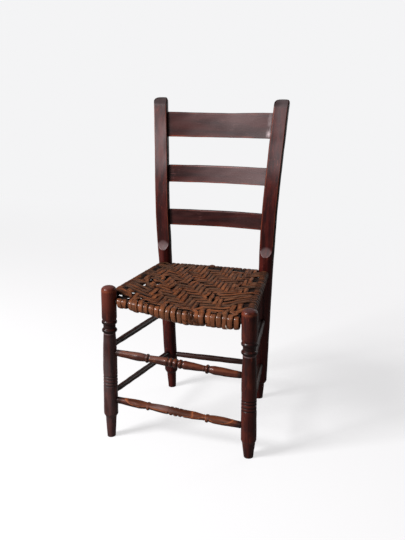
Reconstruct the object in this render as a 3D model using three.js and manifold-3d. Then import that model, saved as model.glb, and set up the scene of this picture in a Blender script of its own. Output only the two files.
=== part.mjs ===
// A slat-back side chair: turned front posts, bent rear posts, three slats and
// a seat woven from bark strips round four rails. Millimetres, +Z up.
// The sitter faces -Y. The origin is the middle of the bounding box's floor.
import * as THREE from "three";
import { mergeVertices } from "three/addons/utils/BufferGeometryUtils.js";
import Module from "manifold-3d";

const wasm = await Module();
wasm.setup();

// Frame: where the four posts stand
const frontFootSpread = 399;
const rearFootSpread = 289;
const frameDepth = 357;
const frontFeetShift = -2.1;
const rearFrameShift = -1.7;

// Front posts
const frontPostHeight = 443;
const leftPostRadius = 21;
const rightPostRadius = 21.8;
const frontInwardLean = 5.2;
const frontBackwardLean = 6.3;
const rightFootWear = 19.4;
const rightDomeWear = 8.1;
const domeDepth = 14;
const upperRingDepth = 101.5;
const lowerRingDepth = 125;
const ringHalfHeight = 5.3;
const ringProud = 0.5;
const neckInset = 4.3;
const throatInset = 4.2;
const bellyDepth = 192;
const bellyInset = 1.6;
const scoreDepth = 271.7;
const scoreOffsets = [-14, -5.8, 4.6, 14];
const scoreHalfWidth = 2.6;
const scoreCut = 1.3;
const footShoulderDepth = 374.3;
const footShoulderHeight = 9;
const leftFoot = { top: 15.4, tip: 12 };
const rightFoot = { top: 17.5, tip: 12.8 };

// Rear posts
const rearPostHeight = 914.5;
const rightEarWear = 2.5;
const rearLeftRadius = 20.6;
const rearRightRadius = 21.6;
const rearUpperSwell = 1.4;
const rearSeatSpread = 317;
const rearSpreadHeight = 400;
const rearTopSpread = 371;
const rearBendFrom = 515;
const rearBendTo = 662;
const rearTopSetBack = 59.6;
const rearShoulderHeight = 60;
const rearFootTopRadius = 14.6;
const rearFootTipRadius = 12.4;
const scoopTipHeight = 461;
const scoopLength = 31;
const shavedCut = 11;
const earHeight = 13;
const earLean = 5;

// Slats: heights of the lower and upper edges above the floor at the left
// end, how much higher the right end is, how far the middle bows back, and
// how far the upper edge dips there
const slatThickness = 8;
const slatTenonStop = 6;
const slatSetBack = 1.5;
const lowerSlat = { from: 537.5, to: 586.5, rise: 0.6, bow: 13, dip: 0 };
const middleSlat = { from: 667, to: 718, rise: 0.6, bow: 12, dip: 0 };
const topSlat = { from: 799.5, to: 872.5, rise: 1.8, bow: 6, dip: 2.5 };

// Stretchers: heights of their axes at both ends. On the front right post they
// are counted from where the foot ended before it wore down.
const frontUpperHeight = { left: 254, right: 250 };
const frontLowerHeight = { left: 113.5, right: 107.5 };
const leftUpperHeight = { front: 269.5, back: 263.5 };
const leftLowerHeight = { front: 129.5, back: 120.5 };
const rightUpperHeight = { front: 267.5, back: 262 };
const rightLowerHeight = { front: 129.5, back: 118 };
const rearStretcherHeight = 112.8;
const turningBeadsOffset = -5.5;
const turningRingsOffset = -1.5;
const turningRingReach = 84.5;
const turningBeadRadius = 12.5;
const turningNeckRadius = 9.2;
const turningSwellRadius = 12;
const turningEndRadius = 9.4;
const sideStretcherRadius = 8.9;
const sideStretcherEndRadius = 8.1;
const rearStretcherRadius = 9.6;
const rearStretcherEndRadius = 8.4;
const wearPlaneOffset = 6.4;
const wearPlaneTilt = 33;

// Seat rails: heights of their axes at both ends, radii at the ends and in the
// middle, and how far the middle hangs
const frontRail = { from: 402.5, to: 399.5, endRadius: 8.6, middleRadius: 11.5, dip: 9 };
const backRail = { from: 405, to: 405, endRadius: 9, middleRadius: 9.8, dip: 0 };
const leftRail = { from: 410.5, to: 413, endRadius: 9, middleRadius: 9.8, dip: 0 };
const rightRail = { from: 413.5, to: 413, endRadius: 9, middleRadius: 9.8, dip: 0 };

// Joints
const turnedTenonRadius = 8;
const sideTenonRadius = 7.4;
const railTenonRadius = 7;
const tenonStop = 10;
const clearance = 0.3;
const shoulderGap = 0.7;

// Woven seat
const warpCount = 22;
const weftCount = 20;
const floatLength = 3;
const turnWarp = 17;
const twillPhase = 4;
const stripLayer = 4;
const weaveRelief = 1.2;
const wrapGroove = 1.5;
const cornerReach = 4;
const topSag = 7;
const bottomSag = 13;
const frontWrapHang = 11.5;
const frontWrapSkew = 1.6;
const gapSize = 5;
const weftPull = 0.1;
const weftCrowding = 0.12;
const bowLeftEnd = 0.26;
const bowRightEnd = 0.22;

// Facets
const postSides = 16;
const turningSides = 12;
const rodSides = 12;
const rodBodySteps = 8;
const slatColumns = 14;
const bendSections = 7;
const hollowSteps = 10;

// Cutters reach this far past what they cut
const cutterReach = 60;

const up = new THREE.Vector3(0, 0, 1);
const left = -1;
const right = 1;

const finish = {
  post: new THREE.MeshStandardMaterial({ color: 0x2c1512, roughness: 0.42, metalness: 0 }),
  slat: new THREE.MeshStandardMaterial({ color: 0x2a1614, roughness: 0.4, metalness: 0 }),
  stretcher: new THREE.MeshStandardMaterial({ color: 0x4a2519, roughness: 0.48, metalness: 0 }),
  rail: new THREE.MeshStandardMaterial({ color: 0x2e1a14, roughness: 0.6, metalness: 0 }),
  bark: new THREE.MeshStandardMaterial({ color: 0x5a3521, roughness: 0.62, metalness: 0 }),
};

// A closed triangle mesh as a solid that can be cut and joined.
function solidFrom(geometry) {
  const bare = geometry.clone();
  bare.deleteAttribute("normal");
  bare.deleteAttribute("uv");
  const merged = mergeVertices(bare, 1e-4);
  const corners = merged.index.array;
  const kept = [];
  for (let t = 0; t < corners.length; t += 3) {
    const [a, b, c] = [corners[t], corners[t + 1], corners[t + 2]];
    if (a !== b && b !== c && c !== a) kept.push(a, b, c);
  }
  return new wasm.Manifold(
    new wasm.Mesh({
      numProp: 3,
      vertProperties: Float32Array.from(merged.attributes.position.array),
      triVerts: Uint32Array.from(kept),
    }),
  );
}

function geometryFrom(solid) {
  const mesh = solid.getMesh();
  const geometry = new THREE.BufferGeometry();
  geometry.setAttribute("position", new THREE.BufferAttribute(mesh.vertProperties, 3));
  geometry.setIndex(new THREE.BufferAttribute(mesh.triVerts, 1));
  return geometry;
}

function cut(geometry, cutters) {
  let solid = solidFrom(geometry);
  for (const cutter of cutters) solid = solid.subtract(solidFrom(cutter));
  return geometryFrom(solid);
}

function mix(a, b, share) {
  return a + (b - a) * share;
}

// Zero with no slope at both ends of a span, and one in the middle.
function bump(share) {
  return (1 - Math.cos(2 * Math.PI * share)) / 2;
}

// Post axes

function frontAxis(side, height) {
  const share = height / frontPostHeight;
  return new THREE.Vector3(
    frontFeetShift * (1 - share) + side * (frontFootSpread / 2 - frontInwardLean * share),
    frontBackwardLean * share,
    height,
  );
}

function rearAxis(side, height) {
  const splay = (rearSeatSpread - rearFootSpread) / 2 / rearSpreadHeight;
  const straight = rearFootSpread / 2 + splay * height;
  const missing = rearTopSpread / 2 - rearFootSpread / 2 - splay * rearPostHeight;
  const above = Math.max(0, height - rearSpreadHeight) / (rearPostHeight - rearSpreadHeight);
  return new THREE.Vector3(
    rearFrameShift + side * (straight + missing * above ** 2),
    frameDepth + rearSetBack(height),
    height,
  );
}

// The steamed bend: straight, then a curve of one radius, then straight again.
function rearSetBack(height) {
  const bend = rearBendTo - rearBendFrom;
  const slope = rearTopSetBack / (rearPostHeight - rearBendTo + bend / 2);
  if (height <= rearBendFrom) return 0;
  if (height <= rearBendTo) return (slope * (height - rearBendFrom) ** 2) / (2 * bend);
  return slope * (height - rearBendTo + bend / 2);
}

// How much lower every joint sits on the front right post.
function frontDrop(side) {
  return side === right ? rightFootWear : 0;
}

function frontPostRadius(side) {
  return side === right ? rightPostRadius : leftPostRadius;
}

function rearPostRadius(side) {
  return side === right ? rearRightRadius : rearLeftRadius;
}

// Turned pieces

// A turned piece along the line from one point to another: its outline is a
// list of [distance from the start, radius], and a facet corner points up.
function turned(from, to, outline, sides) {
  const axis = to.clone().sub(from).normalize();
  const lift = up.clone().addScaledVector(axis, -up.dot(axis)).normalize();
  const lathe = new THREE.LatheGeometry(
    outline.map(([along, radius]) => new THREE.Vector2(radius, along)),
    sides,
  );
  const across = new THREE.Vector3().crossVectors(axis, lift);
  return lathe.applyMatrix4(new THREE.Matrix4().makeBasis(across, axis, lift).setPosition(from));
}

function closedOutline(points) {
  const last = points[points.length - 1];
  return [[points[0][0], 0], ...points, [last[0], 0]];
}

function ring(centre, radius, half, foot) {
  return [
    [centre - half, foot],
    [centre - half * 0.6, radius - (radius - foot) * 0.2],
    [centre, radius],
    [centre + half * 0.6, radius - (radius - foot) * 0.2],
    [centre + half, foot],
  ];
}

function score(depth, radius) {
  return [
    [depth - scoreHalfWidth, radius],
    [depth, radius - scoreCut],
    [depth + scoreHalfWidth, radius],
  ];
}

// Front posts, drawn from the dome down and stopped at the floor
function frontPostOutline(side) {
  const radius = frontPostRadius(side);
  const dome = side === right ? rightDomeWear : 0;
  const length = frontPostHeight - frontDrop(side);
  const neck = radius - neckInset;
  const shin = radius - 0.2;
  const foot = side === right ? rightFoot : leftFoot;
  const depths = [
    [dome, radius * 0.45],
    [dome + domeDepth * 0.12, radius * 0.72],
    [dome + domeDepth * 0.4, radius * 0.92],
    [dome + domeDepth, radius],
    [upperRingDepth - ringHalfHeight - 4, radius - 0.3],
    [upperRingDepth - ringHalfHeight - 2, radius - 1.6],
    ...ring(upperRingDepth, radius + ringProud, ringHalfHeight, radius - 2),
    [upperRingDepth + ringHalfHeight + 2, neck],
    [lowerRingDepth - ringHalfHeight - 2, neck],
    ...ring(lowerRingDepth, radius + ringProud, ringHalfHeight, radius - 2),
    [lowerRingDepth + ringHalfHeight + 2.5, radius - throatInset],
    [bellyDepth, radius - bellyInset],
    ...scoreOffsets.flatMap((offset) => score(scoreDepth + offset, shin)),
    [footShoulderDepth, shin - 0.4],
    [footShoulderDepth + footShoulderHeight * 0.6, foot.top + 1.2],
    [footShoulderDepth + footShoulderHeight, foot.top],
    [length, foot.tip],
  ];
  return closedOutline(depths).map(([depth, r]) => [length - depth, r]).reverse();
}

function frontPost(side, sockets) {
  const top = frontAxis(side, frontPostHeight);
  const foot = frontAxis(side, 0);
  const blank = turned(foot, top, frontPostOutline(side), postSides);
  const floor = new THREE.BoxGeometry(2 * cutterReach, 2 * cutterReach, 2 * cutterReach);
  floor.translate(foot.x, foot.y, -cutterReach);
  return cut(blank, [floor, ...sockets]);
}

// Rear posts: round sections along the bent axis, shaved flat in front above
// the scoop, with an ear that rises towards the back
function rearRadiusAt(side, height) {
  const radius = rearPostRadius(side);
  const swell = rearUpperSwell * THREE.MathUtils.smoothstep(height, rearSpreadHeight, rearBendFrom);
  if (height >= rearShoulderHeight) return radius + swell;
  const kneeHeight = rearShoulderHeight - footShoulderHeight;
  if (height <= kneeHeight) return mix(rearFootTipRadius, rearFootTopRadius, height / kneeHeight);
  return mix(rearFootTopRadius, radius, Math.sqrt((height - kneeHeight) / footShoulderHeight));
}

// How much wood is shaved off the front at a height
function shavedAt(height) {
  const share = THREE.MathUtils.clamp((height - scoopTipHeight) / scoopLength, 0, 1);
  return shavedCut * (1 - (1 - share) ** 2);
}

function rearPost(side, sockets) {
  const kneeHeight = rearShoulderHeight - footShoulderHeight;
  const top = rearPostHeight - (side === right ? rightEarWear : 0);
  const shoulderTop = top - earHeight - earLean / 2;
  const heights = [0, kneeHeight, kneeHeight + 3, rearShoulderHeight, rearSpreadHeight, scoopTipHeight];
  for (const share of [0.2, 0.5, 1]) heights.push(scoopTipHeight + scoopLength * share);
  for (let k = 1; k <= bendSections; k++) {
    heights.push(mix(rearBendFrom, rearBendTo, k / bendSections));
  }
  heights.push(mix(rearBendTo, shoulderTop, 0.5), shoulderTop);
  const rows = heights.map((height) => rearSection(side, height, 1, 0));
  const earRounding = [[0.93, 0.45], [0.72, 0.8], [0.36, 1]];
  for (const [scale, rise] of earRounding) {
    rows.push(rearSection(side, shoulderTop, scale, earHeight * rise));
  }
  return cut(stackedRows(rows), sockets);
}

// One section: scale shrinks it towards the ear's top, and rise lifts it.
function rearSection(side, height, scale, rise) {
  const centre = rearAxis(side, height);
  const lean = rearAxis(side, height + rise).sub(centre);
  const radius = rearRadiusAt(side, height);
  const face = radius - shavedAt(height);
  const earShift = (radius - face) / 2;
  const row = [];
  for (let k = 0; k < postSides; k++) {
    const angle = (2 * Math.PI * k) / postSides;
    const x = radius * Math.cos(angle);
    const y = Math.max(radius * Math.sin(angle), -face);
    const tilt = rise > 0 ? (earLean * y) / radius : 0;
    row.push(
      new THREE.Vector3(
        centre.x + lean.x + x * scale,
        centre.y + lean.y + mix(earShift, y, scale),
        height + rise + tilt * scale,
      ),
    );
  }
  return row;
}

// Skins closed rings of points, from the lowest ring to the highest.
function stackedRows(rows) {
  const sides = rows[0].length;
  const positions = [];
  const triangles = [];
  for (const row of rows) for (const p of row) positions.push(p.x, p.y, p.z);
  const middle = (row) => row.reduce((sum, p) => sum.add(p), new THREE.Vector3()).divideScalar(sides);
  const bottom = middle(rows[0]);
  const top = middle(rows[rows.length - 1]);
  positions.push(bottom.x, bottom.y, bottom.z, top.x, top.y, top.z);
  const bottomIndex = rows.length * sides;
  for (let k = 0; k < sides; k++) {
    const next = (k + 1) % sides;
    triangles.push(bottomIndex, next, k);
    triangles.push(bottomIndex + 1, bottomIndex - sides + k, bottomIndex - sides + next);
    for (let r = 0; r + 1 < rows.length; r++) {
      const a = r * sides + k;
      const b = r * sides + next;
      triangles.push(a, b, b + sides, a, b + sides, a + sides);
    }
  }
  const geometry = new THREE.BufferGeometry();
  geometry.setAttribute("position", new THREE.Float32BufferAttribute(positions, 3));
  geometry.setIndex(triangles);
  return geometry;
}

// Slats: bowed boards whose ends lie in slots in the rear posts. Extra grows
// the board on every side, which makes the slot's cutter.
function slat({ from, to, rise, bow, dip }, extra) {
  const edge = slatThickness / 2 + extra;
  const rows = [];
  for (let k = 0; k <= slatColumns; k++) {
    const share = k / slatColumns;
    const low = from + rise * share - extra;
    const high = to + rise * share + extra - dip * bump(share);
    const level = (low + high) / 2;
    const back = slatSetBack + bow * Math.sin(Math.PI * share);
    const section = [[low, -edge], [low, edge], [level, edge], [high, edge], [high, -edge], [level, -edge]];
    rows.push(section.map(([height, y]) => {
      const axis = rearAxis(right, height);
      const reach = axis.x - rearFrameShift - slatTenonStop + extra;
      return new THREE.Vector3(rearFrameShift + mix(-reach, reach, share), axis.y + back + y, height);
    }));
  }
  return stackedRows(rows);
}

// Stretchers and rails: each runs between two post axes, and its tenons stop
// short of them

function rodOutline(length, tenonRadius, body, startPost, endPost) {
  const start = startPost + shoulderGap;
  const finishAt = length - endPost - shoulderGap;
  return closedOutline([
    [tenonStop, tenonRadius],
    [start, tenonRadius],
    ...body(start, finishAt),
    [finishAt, tenonRadius],
    [length - tenonStop, tenonRadius],
  ]);
}

function socket(from, to, tenonRadius) {
  const hole = [
    [tenonStop - clearance, tenonRadius + clearance],
    [cutterReach, tenonRadius + clearance],
  ];
  return turned(from, to, closedOutline(hole), rodSides);
}

function plainBody(endRadius, middleRadius) {
  return (start, end) => {
    const points = [];
    for (let k = 0; k <= rodBodySteps; k++) {
      const share = k / rodBodySteps;
      points.push([mix(start, end, share), mix(endRadius, middleRadius, Math.sin(Math.PI * share))]);
    }
    return points;
  };
}

// The turned pattern: three beads in the middle, a ring on each side of them,
// swelled lengths between and tapers at both ends. Beads are drawn outwards
// from their own middle, and so are the rings.
function turnedBody(length) {
  const groove = turningBeadRadius - 1.7;
  const beads = [
    [0, turningBeadRadius + 0.2],
    [4, turningBeadRadius],
    [6.6, groove],
    [8.8, turningBeadRadius],
    [17.6, turningBeadRadius],
    [19.7, groove],
    [25, turningSwellRadius + 0.3],
    [45, turningSwellRadius - 0.6],
  ];
  const rings = (outwards) => [
    [turningRingReach - 9, turningNeckRadius],
    ...ring(turningRingReach, turningBeadRadius, 4.6, turningNeckRadius + 0.6),
    [turningRingReach + 6.5, turningNeckRadius + 1],
    [turningRingReach + 22, turningSwellRadius],
    [outwards, turningEndRadius],
  ];
  return (start, end) => {
    const beadsAt = length / 2 + turningBeadsOffset;
    const ringsAt = length / 2 + turningRingsOffset;
    const drawn = (points, middle, sign) => points.map(([d, r]) => [middle + sign * d, r]);
    return [
      ...drawn(rings(ringsAt - start), ringsAt, -1).reverse(),
      ...drawn(beads, beadsAt, -1).reverse(),
      ...drawn(beads.slice(1), beadsAt, 1),
      ...drawn(rings(end - ringsAt), ringsAt, 1),
    ];
  };
}

// Feet have worn one flat along the lower front stretcher, facing up and
// forwards. Every point beyond the plane is pushed back onto it.
function wornFlat(geometry, from, to) {
  const tilt = THREE.MathUtils.degToRad(wearPlaneTilt);
  const facing = new THREE.Vector3(0, -Math.sin(tilt), Math.cos(tilt));
  const axis = to.clone().sub(from).normalize();
  const length = to.distanceTo(from);
  const position = geometry.getAttribute("position");
  for (let k = 0; k < position.count; k++) {
    const point = new THREE.Vector3().fromBufferAttribute(position, k);
    const along = point.clone().sub(from).dot(axis);
    if (along < leftPostRadius || along > length - rightPostRadius) continue;
    const centre = from.clone().addScaledVector(axis, along);
    const beyond = point.clone().sub(centre).dot(facing) - wearPlaneOffset;
    if (beyond > 0) point.addScaledVector(facing, -beyond);
    position.setXYZ(k, point.x, point.y, point.z);
  }
  return geometry;
}

// Lets the middle of a rail hang, with its ends left straight in the posts.
function hung(geometry, from, to, dip) {
  const span = to.clone().sub(from);
  const position = geometry.getAttribute("position");
  for (let k = 0; k < position.count; k++) {
    const point = new THREE.Vector3().fromBufferAttribute(position, k);
    const share = point.clone().sub(from).dot(span) / span.lengthSq();
    position.setZ(k, point.z - dip * bump(share));
  }
  return geometry;
}

// Every rod, with the post at each end
function frontEnd(side, height) {
  return {
    post: side === left ? "front_left_post" : "front_right_post",
    at: frontAxis(side, height - frontDrop(side)),
    radius: frontPostRadius(side),
  };
}

function rearEnd(side, height) {
  return {
    post: side === left ? "rear_left_post" : "rear_right_post",
    at: rearAxis(side, height),
    radius: rearPostRadius(side),
  };
}

const rods = [];

function addRod(name, from, to, tenonRadius, body, sides, material, shape = (g) => g) {
  rods.push({ name, from, to, tenonRadius, body, sides, material, shape });
}

for (const [name, height] of [["upper", frontUpperHeight], ["lower", frontLowerHeight]]) {
  const from = frontEnd(left, height.left);
  const to = frontEnd(right, height.right);
  const worn = name === "lower" ? (g) => wornFlat(g, from.at, to.at) : (g) => g;
  const body = turnedBody(from.at.distanceTo(to.at));
  addRod(`front_${name}_stretcher`, from, to, turnedTenonRadius, body, turningSides, finish.stretcher, worn);
}
for (const [name, side, height] of [
  ["left_upper", left, leftUpperHeight],
  ["left_lower", left, leftLowerHeight],
  ["right_upper", right, rightUpperHeight],
  ["right_lower", right, rightLowerHeight],
]) {
  const from = frontEnd(side, height.front);
  const to = rearEnd(side, height.back);
  const body = plainBody(sideStretcherEndRadius, sideStretcherRadius);
  addRod(`${name}_stretcher`, from, to, sideTenonRadius, body, rodSides, finish.stretcher);
}
addRod(
  "rear_stretcher",
  rearEnd(left, rearStretcherHeight),
  rearEnd(right, rearStretcherHeight),
  sideTenonRadius,
  plainBody(rearStretcherEndRadius, rearStretcherRadius),
  rodSides,
  finish.stretcher,
);

// The seat's four edges: each rail with the posts that hold it
const matEdges = {
  front: { rail: frontRail, from: frontEnd(left, frontRail.from), to: frontEnd(right, frontRail.to) },
  back: { rail: backRail, from: rearEnd(left, backRail.from), to: rearEnd(right, backRail.to) },
  left: { rail: leftRail, from: frontEnd(left, leftRail.from), to: rearEnd(left, leftRail.to) },
  right: { rail: rightRail, from: frontEnd(right, rightRail.from), to: rearEnd(right, rightRail.to) },
};

for (const [name, { rail, from, to }] of Object.entries(matEdges)) {
  const body = plainBody(rail.endRadius, rail.middleRadius);
  const sagging = (g) => hung(g, from.at, to.at, rail.dip);
  addRod(`${name}_seat_rail`, from, to, railTenonRadius, body, rodSides, finish.rail, sagging);
}

function rodGeometry({ from, to, tenonRadius, body, sides, shape }) {
  const length = from.at.distanceTo(to.at);
  const outline = rodOutline(length, tenonRadius, body, from.radius, to.radius);
  return shape(turned(from.at, to.at, outline, sides));
}

function socketsIn(post) {
  const cutters = [];
  for (const { from, to, tenonRadius } of rods) {
    if (from.post === post) cutters.push(socket(from.at, to.at, tenonRadius));
    if (to.post === post) cutters.push(socket(to.at, from.at, tenonRadius));
  }
  return cutters;
}

// Woven seat. Across runs from the left rail to the right one and deep from
// the front rail to the back one, both from 0 to 1 between the rails' axes.

function edgePoint({ rail, from, to }, share) {
  const point = from.at.clone().lerp(to.at, share);
  point.z -= rail.dip * bump(share);
  return point;
}

function railRadius(rail, share) {
  return mix(rail.endRadius, rail.middleRadius, Math.sin(Math.PI * share));
}

// The middle of the mat and half its height at one place. Close to a rail the
// mat follows that rail, so a blend weighs each pair of rails by nearness.
function matAt(across, deep) {
  const { front, back, left: leftEdge, right: rightEdge } = matEdges;
  const toEnds = Math.min(deep, 1 - deep) * frameDepth + 1e-3;
  const toSides = Math.min(across, 1 - across) * frontFootSpread + 1e-3;
  const endWeight = toEnds ** -2;
  const sideWeight = toSides ** -2;
  const share = sideWeight / (endWeight + sideWeight);
  const alongEnds = edgePoint(front, across).lerp(edgePoint(back, across), deep);
  const alongSides = edgePoint(leftEdge, deep).lerp(edgePoint(rightEdge, deep), across);
  const endRadius = mix(railRadius(frontRail, across), railRadius(backRail, across), deep);
  const sideRadius = mix(railRadius(leftRail, deep), railRadius(rightRail, deep), across);
  return {
    middle: alongEnds.lerp(alongSides, share),
    half: mix(endRadius, sideRadius, share) + clearance,
  };
}

function outwardOf({ from, to }, sign) {
  const run = to.at.clone().sub(from.at);
  return new THREE.Vector3(run.y * sign, -run.x * sign, 0).normalize();
}

// Stations in one direction: round the first rail, over its crown, gap and
// strip by turns, and over and round the last rail.
function matStations(nodes, first, turns) {
  const stations = turns.map((turn) => ({ share: 0, turn: -turn, node: null }));
  stations.push({ share: 0, turn: 0, node: null });
  for (let k = 0; k <= nodes; k++) {
    stations.push({ share: mix(first, 1 - first, k / nodes), turn: 0, node: k });
  }
  stations.push({ share: 1, turn: 0, node: null });
  for (const turn of turns.slice().reverse()) stations.push({ share: 1, turn, node: null });
  return stations;
}

// The twill: a warp strip floats over three wefts and then dives under three,
// one step further across on each row, and turns back past the turn warp.
function warpOnTop(warp, weft) {
  const step = warp < turnWarp ? warp : 2 * turnWarp - warp;
  return THREE.MathUtils.euclideanModulo(step + weft + twillPhase, 2 * floatLength) < floatLength;
}

// How proud the weave stands at a node. Odd nodes are strips' middles and even
// nodes are the gaps between them.
function weaveHeight(acrossNode, deepNode) {
  const warp = (acrossNode - 1) / 2;
  const weft = (deepNode - 1) / 2;
  const onWarp = acrossNode % 2 === 1;
  const onWeft = deepNode % 2 === 1;
  if (onWarp && onWeft) return weaveRelief;
  if (!onWarp && !onWeft) return -weaveRelief;
  const over = onWarp
    ? [warpOnTop(warp, weft - 0.5), warpOnTop(warp, weft + 0.5)]
    : [!warpOnTop(warp - 0.5, weft), !warpOnTop(warp + 0.5, weft)];
  return weaveRelief * (over.filter(Boolean).length - 1);
}

// How much lower the wraps under the front rail hang, most right of the middle.
function wrapHang(across, deep) {
  return frontWrapHang * Math.sin(Math.PI * across ** frontWrapSkew) * (1 - deep) ** 4;
}

// On top, the wefts leave the side rails behind the posts and are pulled
// towards the front rail between them, until the first one lies on its crown.
function pulledForward(across, deep) {
  const { smoothstep } = THREE.MathUtils;
  const bow = smoothstep(across, 0, bowLeftEnd) * smoothstep(1 - across, 0, bowRightEnd);
  return Math.max(weftCrowding * deep, deep - weftPull * bow * (1 - deep));
}

// One point of the mat's skin. Face is 1 on top and -1 below.
function matPoint(acrossStation, deepStation, face, layer) {
  const straight = deepStation.share;
  const deep = face > 0 ? pulledForward(acrossStation.share, straight) : straight;
  const { middle, half } = matAt(acrossStation.share, deep);
  const point = middle.clone();
  const turnAcross = THREE.MathUtils.degToRad(acrossStation.turn);
  const turnDeep = THREE.MathUtils.degToRad(deepStation.turn);
  const sunk = (node) => (layer > 0 && node !== null && node % 2 === 0 ? wrapGroove : 0);
  const sideReach = half + layer - sunk(deepStation.node);
  const endReach = half + layer - sunk(acrossStation.node);
  const sideEdge = acrossStation.share < 0.5 ? matEdges.left : matEdges.right;
  const sideSign = acrossStation.share < 0.5 ? -1 : 1;
  point.addScaledVector(outwardOf(sideEdge, sideSign), sideReach * Math.abs(Math.sin(turnAcross)));
  point.y += endReach * Math.sin(turnDeep);
  const lift = Math.min(Math.cos(turnAcross), Math.cos(turnDeep));
  const onRail = acrossStation.node === null || deepStation.node === null;
  let reach = half + layer;
  if (layer > 0 && onRail) {
    const node = acrossStation.node === null ? deepStation.node : acrossStation.node;
    reach -= sunk(node);
  }
  if (layer > 0 && !onRail) reach += weaveHeight(acrossStation.node, deepStation.node) - weaveRelief;
  const pillow = Math.sin(Math.PI * acrossStation.share) * Math.sin(Math.PI * deep);
  if (face < 0) reach += wrapHang(acrossStation.share, deep);
  point.z += face * reach * lift - (face > 0 ? topSag : bottomSag) * pillow;
  return point;
}

// A pillow whose top and bottom skins share their outer rim
function pillow(acrossStations, deepStations, layer) {
  const columns = acrossStations.length;
  const rows = deepStations.length;
  const positions = [];
  const triangles = [];
  const index = { 1: [], "-1": [] };
  for (const face of [1, -1]) {
    for (let c = 0; c < columns; c++) {
      for (let r = 0; r < rows; r++) {
        const rim = c === 0 || r === 0 || c === columns - 1 || r === rows - 1;
        if (rim && face < 0) {
          index[face].push(index[1][c * rows + r]);
          continue;
        }
        index[face].push(positions.length / 3);
        const point = matPoint(acrossStations[c], deepStations[r], face, layer);
        positions.push(point.x, point.y, point.z);
      }
    }
    for (let c = 0; c + 1 < columns; c++) {
      for (let r = 0; r + 1 < rows; r++) {
        const corner = [c * rows + r, (c + 1) * rows + r, (c + 1) * rows + r + 1, c * rows + r + 1];
        const [a, b, d, e] = corner.map((k) => index[face][k]);
        if (face > 0) triangles.push(a, b, d, a, d, e);
        else triangles.push(a, d, b, a, e, d);
      }
    }
  }
  const geometry = new THREE.BufferGeometry();
  geometry.setAttribute("position", new THREE.Float32BufferAttribute(positions, 3));
  geometry.setIndex(triangles);
  return geometry;
}

// Shares of the seat's width and depth that the corner openings take
const cornerShareAcross = (rightPostRadius + cornerReach) / frontFootSpread;
const cornerShareDeep = (rightPostRadius + cornerReach) / frameDepth;

// Gaps between strips, each at [warp, weft], counted from the left and front.
// Open gaps go through both layers, and the others through the top one.
const openGaps = [[1, 1], [2, 1], [2, 2], [4, 8], [2, 6], [2, 9]];
const topGaps = [
  [9, 1], [14, 1], [20, 1], [7, 2], [13, 2], [20, 2], [19, 3], [5, 4], [12, 4], [18, 4], [16, 5],
  [15, 6], [7, 7], [16, 7], [21, 7], [1, 9], [13, 10], [15, 10], [19, 10], [6, 11], [10, 11], [20, 11],
  [3, 12], [11, 12], [12, 12], [1, 13], [6, 13], [9, 13], [16, 13], [1, 14], [5, 17], [5, 18], [12, 18],
];

function gapCutter([warp, weft], through) {
  const across = mix(cornerShareAcross, 1 - cornerShareAcross, warp / warpCount);
  const deep = pulledForward(across, mix(cornerShareDeep, 1 - cornerShareDeep, weft / weftCount));
  const { middle, half } = matAt(across, deep);
  const height = 2 * (half + stripLayer + bottomSag + frontWrapHang);
  const box = new THREE.BoxGeometry(gapSize, gapSize, height);
  return box.translate(middle.x, middle.y, middle.z + (through ? 0 : height / 2 - topSag));
}

function cornerCutter(end, side, facing) {
  const reach = end.radius + cornerReach;
  const size = reach + cutterReach;
  const box = new THREE.BoxGeometry(size, size, 2 * cutterReach);
  const x = end.at.x - side * reach + (side * size) / 2;
  const y = end.at.y - facing * reach + (facing * size) / 2;
  return box.translate(x, y, end.at.z);
}

function wovenSeat() {
  const skin = pillow(
    matStations(2 * warpCount, cornerShareAcross, [90, 45]),
    matStations(2 * weftCount, cornerShareDeep, [90, 45]),
    stripLayer,
  );
  const hollow = pillow(
    matStations(hollowSteps, cornerShareAcross, [90, 60, 30]),
    matStations(hollowSteps, cornerShareDeep, [90, 60, 30]),
    0,
  );
  return cut(skin, [
    hollow,
    cornerCutter(matEdges.left.from, left, -1),
    cornerCutter(matEdges.right.from, right, -1),
    cornerCutter(matEdges.left.to, left, 1),
    cornerCutter(matEdges.right.to, right, 1),
    ...openGaps.map((gap) => gapCutter(gap, true)),
    ...topGaps.map((gap) => gapCutter(gap, false)),
  ]);
}

// The chair
const chair = new THREE.Group();

function add(name, geometry, material) {
  const mesh = new THREE.Mesh(geometry, material);
  mesh.name = name;
  chair.add(mesh);
}

const slats = { lower_slat: lowerSlat, middle_slat: middleSlat, top_slat: topSlat };
const slatSlots = Object.values(slats).map((board) => slat(board, clearance));

add("front_left_post", frontPost(left, socketsIn("front_left_post")), finish.post);
add("front_right_post", frontPost(right, socketsIn("front_right_post")), finish.post);
add("rear_left_post", rearPost(left, [...socketsIn("rear_left_post"), ...slatSlots]), finish.post);
add("rear_right_post", rearPost(right, [...socketsIn("rear_right_post"), ...slatSlots]), finish.post);
for (const [name, board] of Object.entries(slats)) add(name, slat(board, 0), finish.slat);
for (const rod of rods) add(rod.name, rodGeometry(rod), rod.material);
add("woven_seat", wovenSeat(), finish.bark);

const box = new THREE.Box3().setFromObject(chair);
const middle = box.getCenter(new THREE.Vector3());
for (const mesh of chair.children) mesh.position.set(-middle.x, -middle.y, -box.min.z);

export default chair;
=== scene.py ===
# %% [markdown]
# # A worn ladder-back chair
# The chair is a set of sticks and a seat. Four posts, three slats and seven stretchers hold four
# rails, and strips of bark are wound round the rails and woven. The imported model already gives
# every stick its place. This lesson gives each one its fine shape and its old finish.

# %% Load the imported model
import math

import bpy
import numpy as np
from mathutils import Matrix, Vector


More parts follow.
